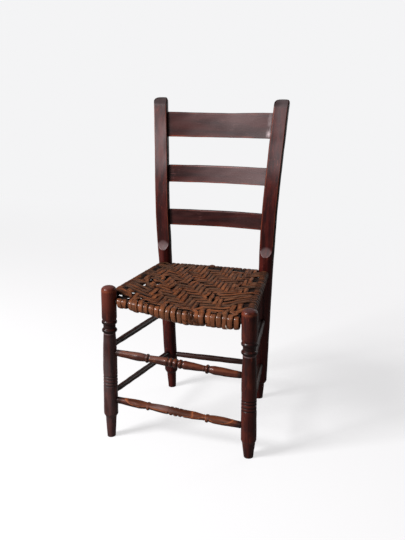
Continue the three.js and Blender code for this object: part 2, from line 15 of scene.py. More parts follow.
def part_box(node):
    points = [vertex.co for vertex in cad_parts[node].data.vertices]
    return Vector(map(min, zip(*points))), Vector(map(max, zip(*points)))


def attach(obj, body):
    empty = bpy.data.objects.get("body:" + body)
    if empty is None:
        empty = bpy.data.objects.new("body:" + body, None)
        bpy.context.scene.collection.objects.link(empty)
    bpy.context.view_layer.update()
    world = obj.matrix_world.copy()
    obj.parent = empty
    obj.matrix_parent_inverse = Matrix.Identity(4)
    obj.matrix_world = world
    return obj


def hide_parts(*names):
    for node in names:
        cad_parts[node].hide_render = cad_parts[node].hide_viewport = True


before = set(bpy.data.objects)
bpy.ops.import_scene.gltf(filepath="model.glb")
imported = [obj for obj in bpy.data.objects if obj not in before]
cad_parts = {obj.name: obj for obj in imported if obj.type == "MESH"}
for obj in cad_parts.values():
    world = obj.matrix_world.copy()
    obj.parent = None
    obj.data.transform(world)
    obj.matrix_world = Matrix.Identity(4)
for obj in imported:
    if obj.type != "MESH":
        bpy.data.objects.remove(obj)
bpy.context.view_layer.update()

# %% [markdown]
# ## Units and the origin
# Every size below is in millimetres, as on the drawing, and a mesh is turned into metres when it is
# made. The drawing counts from the front posts' line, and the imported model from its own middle. The
# rear stretcher lies across the chair at a known place, so its box gives the step between the two.

# %% Units and the origin
MM = 0.001
frame_depth = 357.0
front_feet_shift = -2.1
rear_frame_shift = -1.7

low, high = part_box("rear_stretcher")
middle_x = (low.x + high.x) / 2 / MM
middle_y = (low.y + high.y) / 2 / MM
ORIGIN = np.array([middle_x - rear_frame_shift, middle_y - frame_depth, 0.0])
print("origin step in mm:", ORIGIN.round(2))

# %% [markdown]
# ## Small helpers
# Old wood is never quite round or straight. A noise texture with a Displace modifier could move its
# surface. Here a sum of seeded sine waves does it, because the same waves can also place a mark of
# wear, they are the same on each run, and they cost almost nothing on a whole array of points.

# %% Small helpers
def mix(a, b, share):
    return a + (b - a) * share


def hump(share):
    """Nothing, without a slope, at both ends of a span, and one in its middle."""
    return (1 - np.cos(2 * np.pi * share)) / 2


def ease(value, low, high):
    """Nothing below low, one above high and a soft step between them."""
    t = np.clip((value - low) / (high - low), 0, 1)
    return t * t * (3 - 2 * t)


def bell(value, centre, width):
    return np.exp(-(((value - centre) / width) ** 2))


def unit(vectors):
    return vectors / np.linalg.norm(vectors, axis=-1, keepdims=True)


def ripple(points, size, seed, waves=12):
    """Soft unevenness of points, mostly between -1 and 1. Size is the length of its waves."""
    draw = np.random.default_rng(seed)
    total = np.zeros(points.shape[:-1])
    for _ in range(waves):
        course = unit(draw.normal(size=3)) * 2 * np.pi / (size * draw.uniform(0.6, 1.8))
        total += np.sin(points @ course + draw.uniform(0, 2 * np.pi))
    return total / math.sqrt(waves)


print("ripple of one point:", round(float(ripple(np.zeros((1, 3)), 20, 1)[0]), 3))

# %% [markdown]
# ## Crests and hollows
# Hands and feet rub the finish off what stands proud, and what lies deep is darkened, partly for
# settled dirt and partly as painted shade. Blender's Pointiness gives this too, but only while Cycles
# renders. The script measures it once for each point of a mesh and keeps it as an attribute, which
# any renderer or exporter can read.

# %% Crests and hollows
def point_normals(points, faces):
    across = points[faces[:, 2]] - points[faces[:, 0]]
    along = points[faces[:, 3]] - points[faces[:, 1]]
    face_normals = np.cross(across, along)
    normals = np.zeros_like(points)
    for corner in range(4):
        np.add.at(normals, faces[:, corner], face_normals)
    return normals / np.maximum(np.linalg.norm(normals, axis=1, keepdims=True), 1e-12)


def spread(values, edges, rounds):
    """Averages each point's value with its neighbours', so that a mark gets a soft border."""
    count = np.ones(len(values))
    for side in (0, 1):
        np.add.at(count, edges[:, side], 1)
    for _ in range(rounds):
        total = values.copy()
        np.add.at(total, edges[:, 0], values[edges[:, 1]])
        np.add.at(total, edges[:, 1], values[edges[:, 0]])
        values = total / count
    return values


def bending(points, faces):
    """How sharply the surface bends at each point, per mm: above 0 on a crest, below it in a hollow."""
    normals = point_normals(points, faces)
    edges = np.concatenate([faces[:, [0, 1]], faces[:, [1, 2]], faces[:, [2, 3]], faces[:, [3, 0]]])
    edges = edges[edges[:, 0] != edges[:, 1]]
    step = points[edges[:, 1]] - points[edges[:, 0]]
    reach = np.maximum((step**2).sum(1), 1e-4)
    bend = np.zeros(len(points))
    count = np.full(len(points), 1e-9)
    for side, sign in ((0, -1), (1, 1)):
        here = edges[:, side]
        np.add.at(bend, here, sign * (normals[here] * step).sum(1) / reach)
        np.add.at(count, here, 1)
    return spread(bend / count, edges, 2)


ridge = np.array([[0, 0, 0], [1, 0, 1], [2, 0, 0], [0, 1, 0], [1, 1, 1], [2, 1, 0]], float)
print("bend on a ridge:", bending(ridge, np.array([[0, 1, 4, 3], [1, 2, 5, 4]])).round(2))

# %% [markdown]
# ## Making a piece
# Every piece is a skin of four-sided faces laid over rows of points. Modifiers on a curve could make
# most of the sticks, but with the points at hand each one can also get its marks and its grain place.
# That is where it lies in the stick's own wood, with the grain along z. A pattern that reads it runs
# with the grain, however the stick stands in the chair.

# %% Making a piece
def skin(rows, closed_ends=True):
    """Joins rows of points, each a closed ring, into one array of points and one of faces."""
    rows = np.asarray(rows, float)
    count, around = rows.shape[:2]
    points = rows.reshape(-1, 3)
    here = np.arange(around)
    after = (here + 1) % around
    faces = []
    for r in range(count - 1):
        a = r * around
        faces.append(np.stack([a + here, a + after, a + around + after, a + around + here], 1))
    if closed_ends:
        middles = np.stack([rows[0].mean(0), rows[-1].mean(0)])
        points = np.concatenate([points, middles])
        first, last = count * around, count * around + 1
        top = (count - 1) * around
        half = np.arange(0, around, 2)
        faces.append(np.stack([half * 0 + first, (half + 2) % around, half + 1, half], 1))
        faces.append(np.stack([half * 0 + last, top + half, top + half + 1, top + (half + 2) % around], 1))
    return points, np.concatenate(faces)


# The bend per mm where a crest or a hollow begins, and where it is complete.
crest_bend, hollow_bend = (0.045, 0.22), (0.02, 0.16)


def make_piece(name, points, faces, grain, marks, material, nodes=()):
    """Makes the mesh, keeps a value of each mark for every point, and gives it its body."""
    mesh = bpy.data.meshes.new(name)
    placed = (points + ORIGIN) * MM
    mesh.from_pydata(placed.tolist(), [], faces.tolist())
    mesh.shade_smooth()
    bend = bending(points, faces)
    marks = {"crest": ease(bend, *crest_bend), "hollow": ease(-bend, *hollow_bend), **marks}
    for label, values in marks.items():
        layer = mesh.attributes.new(label, "FLOAT", "POINT")
        for_each = np.ascontiguousarray(np.broadcast_to(values, len(points)), np.float32)
        layer.data.foreach_set("value", for_each)
    layer = mesh.attributes.new("grain_place", "FLOAT_VECTOR", "POINT")
    layer.data.foreach_set("vector", np.ascontiguousarray(grain * MM, np.float32).ravel())
    mesh.materials.append(material)
    piece = bpy.data.objects.new(name, mesh)
    bpy.context.scene.collection.objects.link(piece)
    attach(piece, "root")
    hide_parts(*nodes)
    print(name, len(faces), "faces")
    return piece


# %% [markdown]
# ## Node groups
# Five effects turn up in more than one finish: streaks along the grain, rubbed crests, dirt and
# painted shade in hollows, scuffs and an uneven gloss. They could be copied into each material. Each
# is a node group with named sockets instead, so it is built once and each finish only sets its own values.

# %% A short way to place nodes
def feed(tree, socket, value):
    """Gives a socket a number, a colour or the output of another node."""
    if isinstance(value, bpy.types.NodeSocket):
        tree.links.new(value, socket)
    else:
        socket.default_value = value


def put(tree, kind, settings=None, **sockets):
    """Adds a node. A socket's name has _ for a space, and its value is a number or another socket."""
    node = tree.nodes.new(kind)
    for label, value in (settings or {}).items():
        setattr(node, label, value)
    for label, value in sockets.items():
        wanted = label.replace("_", " ")
        feed(tree, next(s for s in node.inputs if s.name == wanted and s.enabled), value)
    return node


def maths(tree, operation, a, b):
    node = tree.nodes.new("ShaderNodeMath")
    node.operation = operation
    feed(tree, node.inputs[0], a)
    feed(tree, node.inputs[1], b)
    return node.outputs[0]


def times(tree, value, *others):
    for other in others:
        value = maths(tree, "MULTIPLY", value, other)
    return value


def clamped(tree, value):
    return put(tree, "ShaderNodeClamp", Value=value).outputs[0]


print("a node has its place in a tree, and a link joins two of its sockets")

# %% Values that change over a surface
def steps(tree, value, low, high, from_value=0.0, to_value=1.0):
    """Maps low..high to from_value..to_value with a soft step."""
    node = put(tree, "ShaderNodeMapRange", {"interpolation_type": "SMOOTHSTEP"}, Value=value,
               From_Min=low, From_Max=high, To_Min=from_value, To_Max=to_value)
    return node.outputs[0]


def noise(tree, vector, scale=1.0, detail=2.0, rough=0.5, distortion=0.0):
    node = put(tree, "ShaderNodeTexNoise", Vector=vector, Scale=scale, Detail=detail, Roughness=rough,
               Distortion=distortion)
    return node.outputs["Fac"]


def mark(tree, label):
    return put(tree, "ShaderNodeAttribute", {"attribute_name": label}).outputs["Fac"]


def grain_scaled(tree, across, along):
    place = put(tree, "ShaderNodeAttribute", {"attribute_name": "grain_place"}).outputs["Vector"]
    return put(tree, "ShaderNodeMapping", Vector=place, Scale=(across, across, along)).outputs[0]


def new_group(name, takes, gives):
    group = bpy.data.node_groups.new(name, "ShaderNodeTree")
    for label, default in takes.items():
        socket = group.interface.new_socket(label, in_out="INPUT", socket_type="NodeSocketFloat")
        socket.default_value = default
    for label in gives:
        group.interface.new_socket(label, in_out="OUTPUT", socket_type="NodeSocketFloat")
    print("group", name, "takes", list(takes), "and gives", gives)
    return group, group.nodes.new("NodeGroupInput").outputs, group.nodes.new("NodeGroupOutput").inputs


def place_group(tree, group, **sockets):
    return put(tree, "ShaderNodeGroup", {"node_tree": group}, **sockets).outputs


# %% Streaks along the grain
def grain_group():
    group, takes, gives = new_group("grain_streaks", {"Width": 260.0, "Length": 9.0}, ["Streaks", "Fibres"])
    place = put(group, "ShaderNodeAttribute", {"attribute_name": "grain_place"}).outputs["Vector"]
    scale = put(group, "ShaderNodeCombineXYZ", X=takes["Width"], Y=takes["Width"], Z=takes["Length"])
    stretched = put(group, "ShaderNodeVectorMath", {"operation": "MULTIPLY"})
    group.links.new(place, stretched.inputs[0])
    group.links.new(scale.outputs[0], stretched.inputs[1])
    broad = noise(group, stretched.outputs[0], 0.45, detail=3.0, distortion=0.4)
    fine = noise(group, stretched.outputs[0], 3.2, rough=0.7)
    group.links.new(steps(group, broad, 0.36, 0.66), gives["Streaks"])
    group.links.new(steps(group, fine, 0.32, 0.7), gives["Fibres"])
    return group


grain_streaks = grain_group()


# %% Rubbed crests
def rub_group():
    group, takes, gives = new_group("rubbed_crests", {"Amount": 1.0}, ["Mask"])
    patches = noise(group, grain_scaled(group, 70, 30), detail=4.0, rough=0.65)
    rubbed = times(group, mark(group, "crest"), steps(group, patches, 0.34, 0.6), takes["Amount"])
    group.links.new(clamped(group, rubbed), gives["Mask"])
    return group


rubbed_crests = rub_group()


# %% Dirt and painted shade in hollows
def hollow_darkening_group():
    group, takes, gives = new_group("hollow_dirt_and_shade", {"Amount": 1.0}, ["Mask"])
    specks = noise(group, grain_scaled(group, 150, 90), detail=3.0)
    specked = steps(group, specks, 0.3, 0.62, 0.35, 1.0)
    # Hollows are darkened: partly settled dirt, partly painted shade where less light reaches.
    darkened = times(group, mark(group, "hollow"), specked, takes["Amount"])
    group.links.new(clamped(group, darkened), gives["Mask"])
    return group


hollow_dirt_and_shade = hollow_darkening_group()


# %% Scuffs and scratches
def scuff_group():
    group, takes, gives = new_group("scuffs", {"Amount": 1.0, "Scratches": 1.0}, ["Mask"])
    clouds = noise(group, grain_scaled(group, 26, 12), detail=5.0, rough=0.62)
    cloudy = times(group, steps(group, clouds, 0.46, 0.72), takes["Amount"])
    lines = steps(group, noise(group, grain_scaled(group, 420, 22), detail=1.0), 0.63, 0.7)
    areas = steps(group, noise(group, grain_scaled(group, 40, 28)), 0.5, 0.62)
    scratched = times(group, lines, areas, takes["Scratches"])
    group.links.new(clamped(group, maths(group, "MAXIMUM", cloudy, scratched)), gives["Mask"])
    return group


scuffs = scuff_group()


# %% Uneven gloss
def gloss_group():
    group, takes, gives = new_group("uneven_gloss", {"Roughness": 0.4, "Spread": 0.2}, ["Roughness"])
    handled = noise(group, grain_scaled(group, 45, 20), detail=5.0, rough=0.6)
    swing = times(group, maths(group, "SUBTRACT", handled, 0.5), takes["Spread"])
    group.links.new(maths(group, "ADD", takes["Roughness"], swing), gives["Roughness"])
    return group


uneven_gloss = gloss_group()

# %% [markdown]
# ## The finishes
# The wood wears a dark reddish-brown finish. It is darker in the turned hollows, from dirt and from
# painted shade, it is thin and orange where hands and shoes rub it, and a grey sheen is painted on its
# broad faces. It could be painted on images, one for each stick. Noise that follows the grain place
# was chosen, because it fits a stick of any length. One function makes all the wooden finishes, since
# they differ only in colours and in how much each one is worn.

# %% Colours are read as they look
def look(red, green, blue):
    """A colour as it looks on a screen, from 0 to 255, as the linear values that a shader wants."""
    def linear(value):
        share = value / 255
        return ((share + 0.055) / 1.055) ** 2.4 if value > 10 else share / 12.92
    return linear(red), linear(green), linear(blue), 1.0


def blend(tree, factor, a, b):
    """Mixes two colours: a where factor is 0 and b where it is 1."""
    node = tree.nodes.new("ShaderNodeMix")
    node.data_type = "RGBA"
    for place, value in ((0, factor), (6, a), (7, b)):
        feed(tree, node.inputs[place], value)
    return node.outputs[2]


print("a grey of 128 is", round(look(128, 128, 128)[0], 3), "to a shader")

# %% Wooden finishes
# The pale colour: painted sheen and painted highlights, and also paler tops, scuffs and worn patches.
sheen_and_pale_colour = look(196, 178, 180)


def new_material(name):
    material = bpy.data.materials.new(name)
    material.use_nodes = True
    return material, material.node_tree, material.node_tree.nodes["Principled BSDF"]


def wood_finish(name, deep, warm, thin, bare, dirt_and_shade, rubbed, scuffed, roughness=0.42, coat=0.12,
                grain_width=260.0, fibrous=0.22):
    """The colours go from the deepest finish to bare wood, and rubbed and scuffed say how much shows."""
    material, tree, shader = new_material(name)
    grain = place_group(tree, grain_streaks, Width=grain_width)
    colour = blend(tree, grain["Streaks"], deep, warm)
    colour = blend(tree, times(tree, grain["Fibres"], fibrous), colour, deep)
    worn = place_group(tree, scuffs, Amount=scuffed)["Mask"]
    worn = maths(tree, "MAXIMUM", worn, mark(tree, "thin"))
    colour = blend(tree, worn, colour, thin)
    crests = place_group(tree, rubbed_crests, Amount=rubbed)["Mask"]
    bared = maths(tree, "MAXIMUM", crests, mark(tree, "bare"))
    colour = blend(tree, bared, colour, blend(tree, grain["Fibres"], bare, thin))
    # Hollows and the shade mark darken towards one colour: old dirt in places, painted shade in others.
    colour = blend(tree, place_group(tree, hollow_dirt_and_shade, Amount=0.8)["Mask"], colour, dirt_and_shade)
    colour = blend(tree, mark(tree, "shade"), colour, dirt_and_shade)
    # Pale adds painted sheen and painted highlights, and also scuffs and worn patches.
    colour = blend(tree, mark(tree, "pale"), colour, sheen_and_pale_colour)
    tree.links.new(colour, shader.inputs["Base Color"])
    gloss = place_group(tree, uneven_gloss, Roughness=roughness, Spread=0.25)["Roughness"]
    dulled = maths(tree, "ADD", gloss, times(tree, bared, 0.14))
    tree.links.new(dulled, shader.inputs["Roughness"])
    shader.inputs["Specular IOR Level"].default_value = 0.12
    shader.inputs["Coat Weight"].default_value = coat
    shader.inputs["Coat Roughness"].default_value = 0.16
    height = maths(tree, "ADD", times(tree, grain["Fibres"], 0.5), times(tree, worn, -0.6))
    bump = put(tree, "ShaderNodeBump", Height=height, Strength=0.35, Distance=0.0004)
    tree.links.new(bump.outputs[0], shader.inputs["Normal"])
    print("finish:", name)
    return material


# %% Finishes of the posts, slats and stretchers
post_finish = wood_finish(
    "post_finish", deep=look(34, 10, 9), warm=look(60, 20, 15), thin=look(100, 42, 28),
    bare=look(156, 84, 50), dirt_and_shade=look(20, 12, 11), rubbed=0.8, scuffed=0.45)
rear_post_finish = wood_finish(
    "rear_post_finish", deep=look(37, 8, 8), warm=look(66, 17, 13), thin=look(92, 36, 27),
    bare=look(152, 76, 46), dirt_and_shade=look(22, 10, 10), rubbed=0.8, scuffed=0.35, coat=0.08)
slat_finish = wood_finish(
    "slat_finish", deep=look(32, 11, 11), warm=look(56, 20, 17), thin=look(76, 44, 42),
    bare=look(160, 74, 46), dirt_and_shade=look(16, 10, 10), rubbed=0.85, scuffed=0.3, roughness=0.38,
    grain_width=90.0, fibrous=0.1)
stretcher_finish = wood_finish(
    "stretcher_finish", deep=look(46, 20, 15), warm=look(84, 40, 27), thin=look(124, 70, 42),
    bare=look(188, 106, 60), dirt_and_shade=look(18, 11, 10), rubbed=0.9, scuffed=0.5, roughness=0.4, coat=0.18)
dark_stretcher_finish = wood_finish(
    "dark_stretcher_finish", deep=look(34, 18, 16), warm=look(56, 30, 24), thin=look(72, 42, 33),
    bare=look(118, 68, 46), dirt_and_shade=look(18, 12, 12), rubbed=0.6, scuffed=0.3, roughness=0.46)

# %% [markdown]
# ## Where the posts stand
# The front posts lean in and back a little. The rear posts splay outwards, and above the seat they
# bend back in one steamed curve. The front right post is worn shorter than the left one at its foot,
# so every joint sits lower on it.

# %% Post axes
front_foot_spread, front_post_height = 399.0, 443.0
front_inward_lean, front_backward_lean = 5.2, 6.3
right_foot_wear, right_dome_wear = 19.4, 8.1
rear_foot_spread, rear_seat_spread, rear_top_spread = 289.0, 317.0, 371.0
rear_spread_height, rear_post_height, right_ear_wear = 400.0, 914.5, 2.5
rear_bend_from, rear_bend_to, rear_top_set_back = 515.0, 662.0, 59.6
LEFT, RIGHT = -1, 1
FRONT_RADIUS = {LEFT: 21.0, RIGHT: 21.8}
REAR_RADIUS = {LEFT: 20.6, RIGHT: 21.6}
rear_upper_swell = 1.4


def front_axis(side, height):
    share = height / front_post_height
    x = front_feet_shift * (1 - share) + side * (front_foot_spread / 2 - front_inward_lean * share)
    return np.array([x, front_backward_lean * share, height])


def set_back(height):
    bend = rear_bend_to - rear_bend_from
    slope = rear_top_set_back / (rear_post_height - rear_bend_to + bend / 2)
    above = np.clip(height - rear_bend_from, 0, bend)
    return slope * above**2 / (2 * bend) + slope * np.maximum(height - rear_bend_to, 0)


def rear_axis(side, height):
    splay = (rear_seat_spread - rear_foot_spread) / 2 / rear_spread_height
    missing = rear_top_spread / 2 - rear_foot_spread / 2 - splay * rear_post_height
    above = np.maximum(0, height - rear_spread_height) / (rear_post_height - rear_spread_height)
    half = rear_foot_spread / 2 + splay * height + missing * above**2
    return np.stack([rear_frame_shift + side * half, frame_depth + set_back(height), height + half * 0], -1)


def front_end(side, height):
    return front_axis(side, height - (right_foot_wear if side == RIGHT else 0))


print("rear left post leans back", round(float(set_back(rear_post_height)), 1), "mm at its top")

# %% [markdown]
# ## Turned sticks
# A lathe makes a stick from its outline. Blender's Screw modifier could spin one in the same way.
# Here the outline is a curve of radius against depth, so that beads and grooves can be added to a
# smooth base as short functions, as a turner cuts them into a round blank. The finished outline is
# swept round the axis with a little wobble.

# %% Outlines
bead_sunk = 1.2


def base_outline(depth, corners, softness=3.0):
    """A smooth curve through corners, each a depth and a radius."""
    where, radius = np.array(corners, float).T
    total = np.zeros_like(depth)
    for shift in (-1, -0.5, 0, 0.5, 1):
        total += np.interp(depth + shift * softness, where, radius)
    return total / 5


def bead(depth, outline, centre, half, radius):
    """A rounded ring that stands on the outline."""
    inside = np.clip(1 - ((depth - centre) / half) ** 2, 0, 1)
    foot = np.interp(centre, depth, outline)
    ring = foot - bead_sunk + (radius - foot + bead_sunk) * np.sqrt(inside)
    return np.where(inside > 0, np.maximum(outline, ring), outline)


def groove(depth, outline, centre, width, cut):
    return outline - cut * bell(depth, centre, width)


plain_depths = np.arange(0, 12.0, 2)
print("a bead on a plain stick:", bead(plain_depths, plain_depths * 0 + 8, 6, 4, 10).round(1))

# %% Turned stick
# Each piece's seed moves it to another place in the wood, this many mm further on.
grain_step = 137.0


def turned(start, end, depths, radii, around, seed, wobble=0.25, oval=0.012):
    """Rows of points from start to end, and each point's own grain place."""
    axis = unit(end - start)
    upright = abs(axis[2]) > 0.9
    lift = unit(np.cross([1.0, 0, 0], axis) if upright else np.array([0.0, 0, 1]) - axis * axis[2])
    across = np.cross(axis, lift)
    angle = 2 * np.pi * np.arange(around) / around
    ring = np.cos(angle)[:, None] * across + np.sin(angle)[:, None] * lift
    centres = start + depths[:, None] * axis
    draw = np.random.default_rng(seed)
    squash = 1 - oval * (1 + np.cos(2 * angle + draw.uniform(0, 6.28))) / 2
    rows = centres[:, None] + ring * (radii[:, None] * squash)[..., None]
    uneven = np.minimum(ripple(rows, 34, seed), 0.6) - 0.6
    rows = rows + ring * (uneven * wobble * np.minimum(radii / 6, 1)[:, None])[..., None]
    flat = np.stack([np.cos(angle), np.sin(angle)], -1)
    depth_of_each = np.broadcast_to(depths[:, None, None], rows.shape[:2] + (1,))
    grain = np.concatenate([flat * radii[:, None, None], depth_of_each], -1)
    return rows, grain + seed * grain_step


def closed(rows, grain):
    points, faces = skin(rows)
    caps = np.stack([grain[0].mean(0), grain[-1].mean(0)])
    return points, faces, np.concatenate([grain.reshape(-1, 3), caps])


def per_point(values, around):
    """Repeats a value of each row for all its points, and for the two end points."""
    return np.concatenate([np.repeat(values, around), values[[0, -1]]])


no_marks = {"thin": 0.0, "bare": 0.0, "shade": 0.0, "pale": 0.0}
print("marks of a wooden piece:", list(no_marks))

# %% [markdown]
# ## Front posts
# Each front post has a domed top, two rings with a neck between them, a long swelled shaft with four
# scored lines, and a foot that steps in and tapers. The neck, the rings and the lines hold old dirt,
# and the dome's rim is rubbed. A highlight is painted under the lower ring and on the ribs between the
# lines, and a grey sheen is painted down the left post's shaft. Where each mark lies could be painted
# by hand. Here it is worked out from the depth below the top, so it stays on its ring or line.

# %% Front posts
upper_ring, lower_ring, ring_half = 101.5, 125.0, 5.3
score_middle, score_offsets = 271.7, (-14.0, -5.8, 4.6, 14.0)
foot_shoulder, foot_shoulder_height = 374.3, 9.0
FOOT_RADIUS = {LEFT: (15.4, 12.0), RIGHT: (17.5, 12.8)}
dome_depth = 14.0
post_around, crown_rings, shaft_step = 48, 14, 1.25
groove_width, groove_cut = 1.3, 0.8
score_width, score_cut = 1.5, 1.7


def front_outline(side, depth, dome, length):
    radius = FRONT_RADIUS[side]
    foot_top, foot_tip = FOOT_RADIUS[side]
    outline = base_outline(depth, [
        (dome + dome_depth, radius - 0.1), (upper_ring - 12, radius - 0.2), (upper_ring - 8, radius - 1.2),
        (upper_ring, radius - 2), (upper_ring + 8, radius - 4.1), (lower_ring - 8, radius - 4.1),
        (lower_ring, radius - 2.8), (lower_ring + 8, radius - 4.1), (160, radius - 2.7), (200, radius - 1.2),
        (foot_shoulder - 1, radius - 0.45), (foot_shoulder + foot_shoulder_height * 0.7, foot_top + 0.5),
        (foot_shoulder + foot_shoulder_height + 2, foot_top), (length + 3, foot_tip)], 1.6)
    for ring in (upper_ring, lower_ring):
        outline = bead(depth, outline, ring, ring_half, radius + 0.3)
        for edge in (ring - ring_half - 1.2, ring + ring_half + 1.2):
            outline = groove(depth, outline, edge, groove_width, groove_cut)
    for offset in score_offsets:
        outline = groove(depth, outline, score_middle + offset, score_width, score_cut)
    fall = np.clip(1 - (depth - dome) / dome_depth, 0, 1)
    return outline * (1 - fall**2.7) ** (1 / 2.7)


# %% Where a front post is worn
def front_post_marks(side, depth, points, dome, seed):
    """Shade is grime in the neck, rings and lines and a darker band under the lower ring. Thin and bare are
    rubbed finish, and thin on the ribs is a painted highlight. Pale greys the top, paints a highlight under
    the lower ring and paints a sheen on the left shaft.
    """
    neck = bell(depth, (upper_ring + lower_ring) / 2, 7.5) * 0.75
    rings = bell(depth, upper_ring, 5) * 0.8 + bell(depth, lower_ring, 5) * 0.8
    lines = sum(bell(depth, score_middle + offset, 2.1) for offset in score_offsets)
    below = bell(depth, lower_ring + ring_half + 12, 16) * 0.3
    # A painted highlight line just under the lower ring: it takes off shade and adds pale.
    highlight_below_ring = bell(depth, lower_ring + ring_half + 3.5, 1.0) * 0.35
    shade = np.clip(np.maximum(neck, rings) + lines * 0.95 + below - highlight_below_ring, 0, 0.95)
    rim = bell(depth, dome + 8, 6) * 0.8 * ease(ripple(points, 18, seed + 5), -0.9, 0.7)
    streaked = ease(ripple(points * [1, 1, 0.12], 13, seed + 6), 0.5, 1.6) * bell(depth, 60, 45) * 0.5
    handled = ease(-depth, -(upper_ring - 8), -40) * 0.55 if side == LEFT else 0.0
    # The ribs between the scored lines get a painted highlight in the thin colour.
    ribs = bell(depth, score_middle, 17) * (1 - lines.clip(0, 1))
    thin = np.maximum(np.maximum(rim, streaked), np.maximum(handled, ribs * 0.3))
    top = ease(-depth, -(dome + 6), -(dome + 2)) * 0.04
    uneven = 0.8 + 0.4 * ripple(points * [1, 1, 0.2], 24, seed + 9)
    # A painted sheen down the left post's shaft, added to pale.
    painted_sheen = (ease(depth, lower_ring, lower_ring + 30) * uneven).clip(0, 1)
    pale = top + highlight_below_ring * 0.6 + painted_sheen * (0.055 if side == LEFT else 0.0)
    return dict(no_marks, shade=shade, thin=thin, bare=bell(depth, dome + 12, 3) * 0.35, pale=pale)


# %% Make the front posts
def front_post(side, name, seed):
    dome = right_dome_wear if side == RIGHT else 0.0
    length = front_post_height - (right_foot_wear if side == RIGHT else 0)
    crown = dome + dome_depth * (1 - np.cos(np.linspace(0.06, np.pi / 2, crown_rings)))
    depths = np.concatenate([crown, np.arange(dome + dome_depth + 1, length, shaft_step), [length]])
    radii = front_outline(side, depths, dome, length)
    foot, top = front_axis(side, 0.0), front_axis(side, front_post_height)
    along = length - depths
    rows, grain = turned(foot, top, along[::-1], radii[::-1], post_around, seed)
    rows[0, :, 2] = 0
    rows[..., 2] = np.maximum(rows[..., 2], 0)
    points, faces, grain = closed(rows, grain)
    marks = front_post_marks(side, per_point(depths[::-1], post_around), points, dome, seed)
    return make_piece(name, points, faces, grain, marks, post_finish, [name])


front_post(LEFT, "front_left_post", 11)
front_post(RIGHT, "front_right_post", 12)

# %% [markdown]
# ## Rear posts
# A rear post is round below. Above the seat its front is shaved flat, and the cut starts with a
# scoop like the tip of a ski. The top is rounded off towards the back like a thumb. A curve with a
# bevel would follow the bend, but its section can't change from round to shaved. So each ring is
# worked out by itself, with one part for the round back and one for the flat front, and both
# arrises stay crisp.

# %% Rear posts
scoop_tip, scoop_length, shaved_cut = 461.0, 31.0, 11.0
rear_shoulder, rear_foot_top, rear_foot_tip = 60.0, 14.6, 12.4
ear_front_height, ear_slope, back_rub = 21.5, 3.5, 0.95
flat_points, round_points = 18, 42
plain_step, scoop_step, ear_rings = 2.4, 1.0, 26


def rear_radius(side, height):
    knee = rear_shoulder - foot_shoulder_height
    taper = mix(rear_foot_tip, rear_foot_top, np.clip(height / knee, 0, 1))
    swell = np.sqrt(np.clip((height - knee) / foot_shoulder_height, 0, 1))
    upper = rear_upper_swell * ease(height, rear_spread_height, rear_bend_from)
    return mix(taper, REAR_RADIUS[side] - 0.1 + upper, swell)


def shaved(height):
    share = np.clip((height - scoop_tip) / scoop_length, 0, 1)
    return shaved_cut * (1 - (1 - share) ** 2)


def rear_ring(side, height, ear):
    """One ring. Ear is 0 where the ear's front begins and 1 at its apex."""
    radius = rear_radius(side, height)
    face = radius - shaved(height)
    width = radius * (1 - ear**4.5) ** (1 / 4.5)
    depth = (radius - back_rub * ease(height, 780, 880)) * (1 - ear**5) ** (1 / 5)
    front = -face + ear_slope * ear + (face + radius * 0.62) * (1 - math.sqrt(1 - ear**2))
    narrowest = math.radians(9)
    half = max(narrowest, math.acos(min(face / radius, 1)))
    back = np.linspace(half, 2 * np.pi - half, round_points)
    facet = np.linspace(-half, half, flat_points + 2)[1:-1]
    angle = np.concatenate([back, facet])
    x = np.sin(angle) * width
    y = -np.cos(angle) * depth
    flat = np.arange(len(angle)) >= round_points
    y = np.maximum(y, front)
    arris = math.sqrt(max(radius**2 - face**2, 0.0))
    from_arris = np.hypot(np.abs(x) - arris, y + face)
    ring = np.stack([x, y, np.zeros_like(x)], -1)
    return ring[::-1], flat[::-1], from_arris[::-1]


print("the scoop starts", scoop_tip, "mm up and is cut", shaved_cut, "mm deep")

# %% Where a rear post is worn
def rear_post_marks(side, points, height, ear, sideways, from_arris, facing, seed):
    """Facing is true on the shaved front, and from_arris is the distance to its nearer edge."""
    above = height > scoop_tip
    ear_from = rear_post_height - ear_front_height - (right_ear_wear if side == RIGHT else 0)
    end_grain = ease(height, ear_from - 6, ear_from + 6) * 0.85
    up_scoop = (height - scoop_tip) / scoop_length + 0.25 * (np.abs(sideways) / 14) ** 2
    # The scoop gets a painted sheen over its facet and a painted highlight along its U-shaped rim, both in
    # pale.
    facet = above * facing * ease(-up_scoop, -1.06, -0.74)
    rim = bell(from_arris, 0, 1.5) * above * facing * ease(-up_scoop, -1.1, -0.7)
    uneven = ripple(points * [1, 1, 0.4], 25, seed + 4)
    worn_edge = bell(from_arris, 0, 1.2) * (height > scoop_tip + scoop_length) * (ear < 0.7)
    worn_edge = worn_edge * (0.65 + 0.35 * (sideways > 0) + 0.25 * uneven).clip(0, 1)
    darkness = 0.35 if side == LEFT else 0.15
    dark_face = bell(height, scoop_tip + scoop_length + 20, 34) * facing * darkness
    # Painted shade on the round right side, away from the key lamp.
    dark_side = ease(sideways, 15, 20) * (height > scoop_tip) * (ear < 0.3) * 0.8
    cloudy = (0.8 + 0.3 * ripple(points * [1, 1, 0.3], 30, seed + 3)).clip(0, 1)
    # A painted sheen on the shaved face above the bend, where it leans back; the left post's top keeps less.
    sheen = ease(height, 665, 735) * facing * cloudy
    sheen = sheen * (1 - (0.7 if side == LEFT else 0.0) * bell(height, 880, 35))
    shade = np.maximum(np.maximum(end_grain, dark_face), dark_side * ~facing)
    pale = np.clip(facet * 0.1 + rim * 0.36 + sheen * 0.12, 0, 0.8)
    return dict(no_marks, shade=shade, bare=worn_edge, pale=pale)


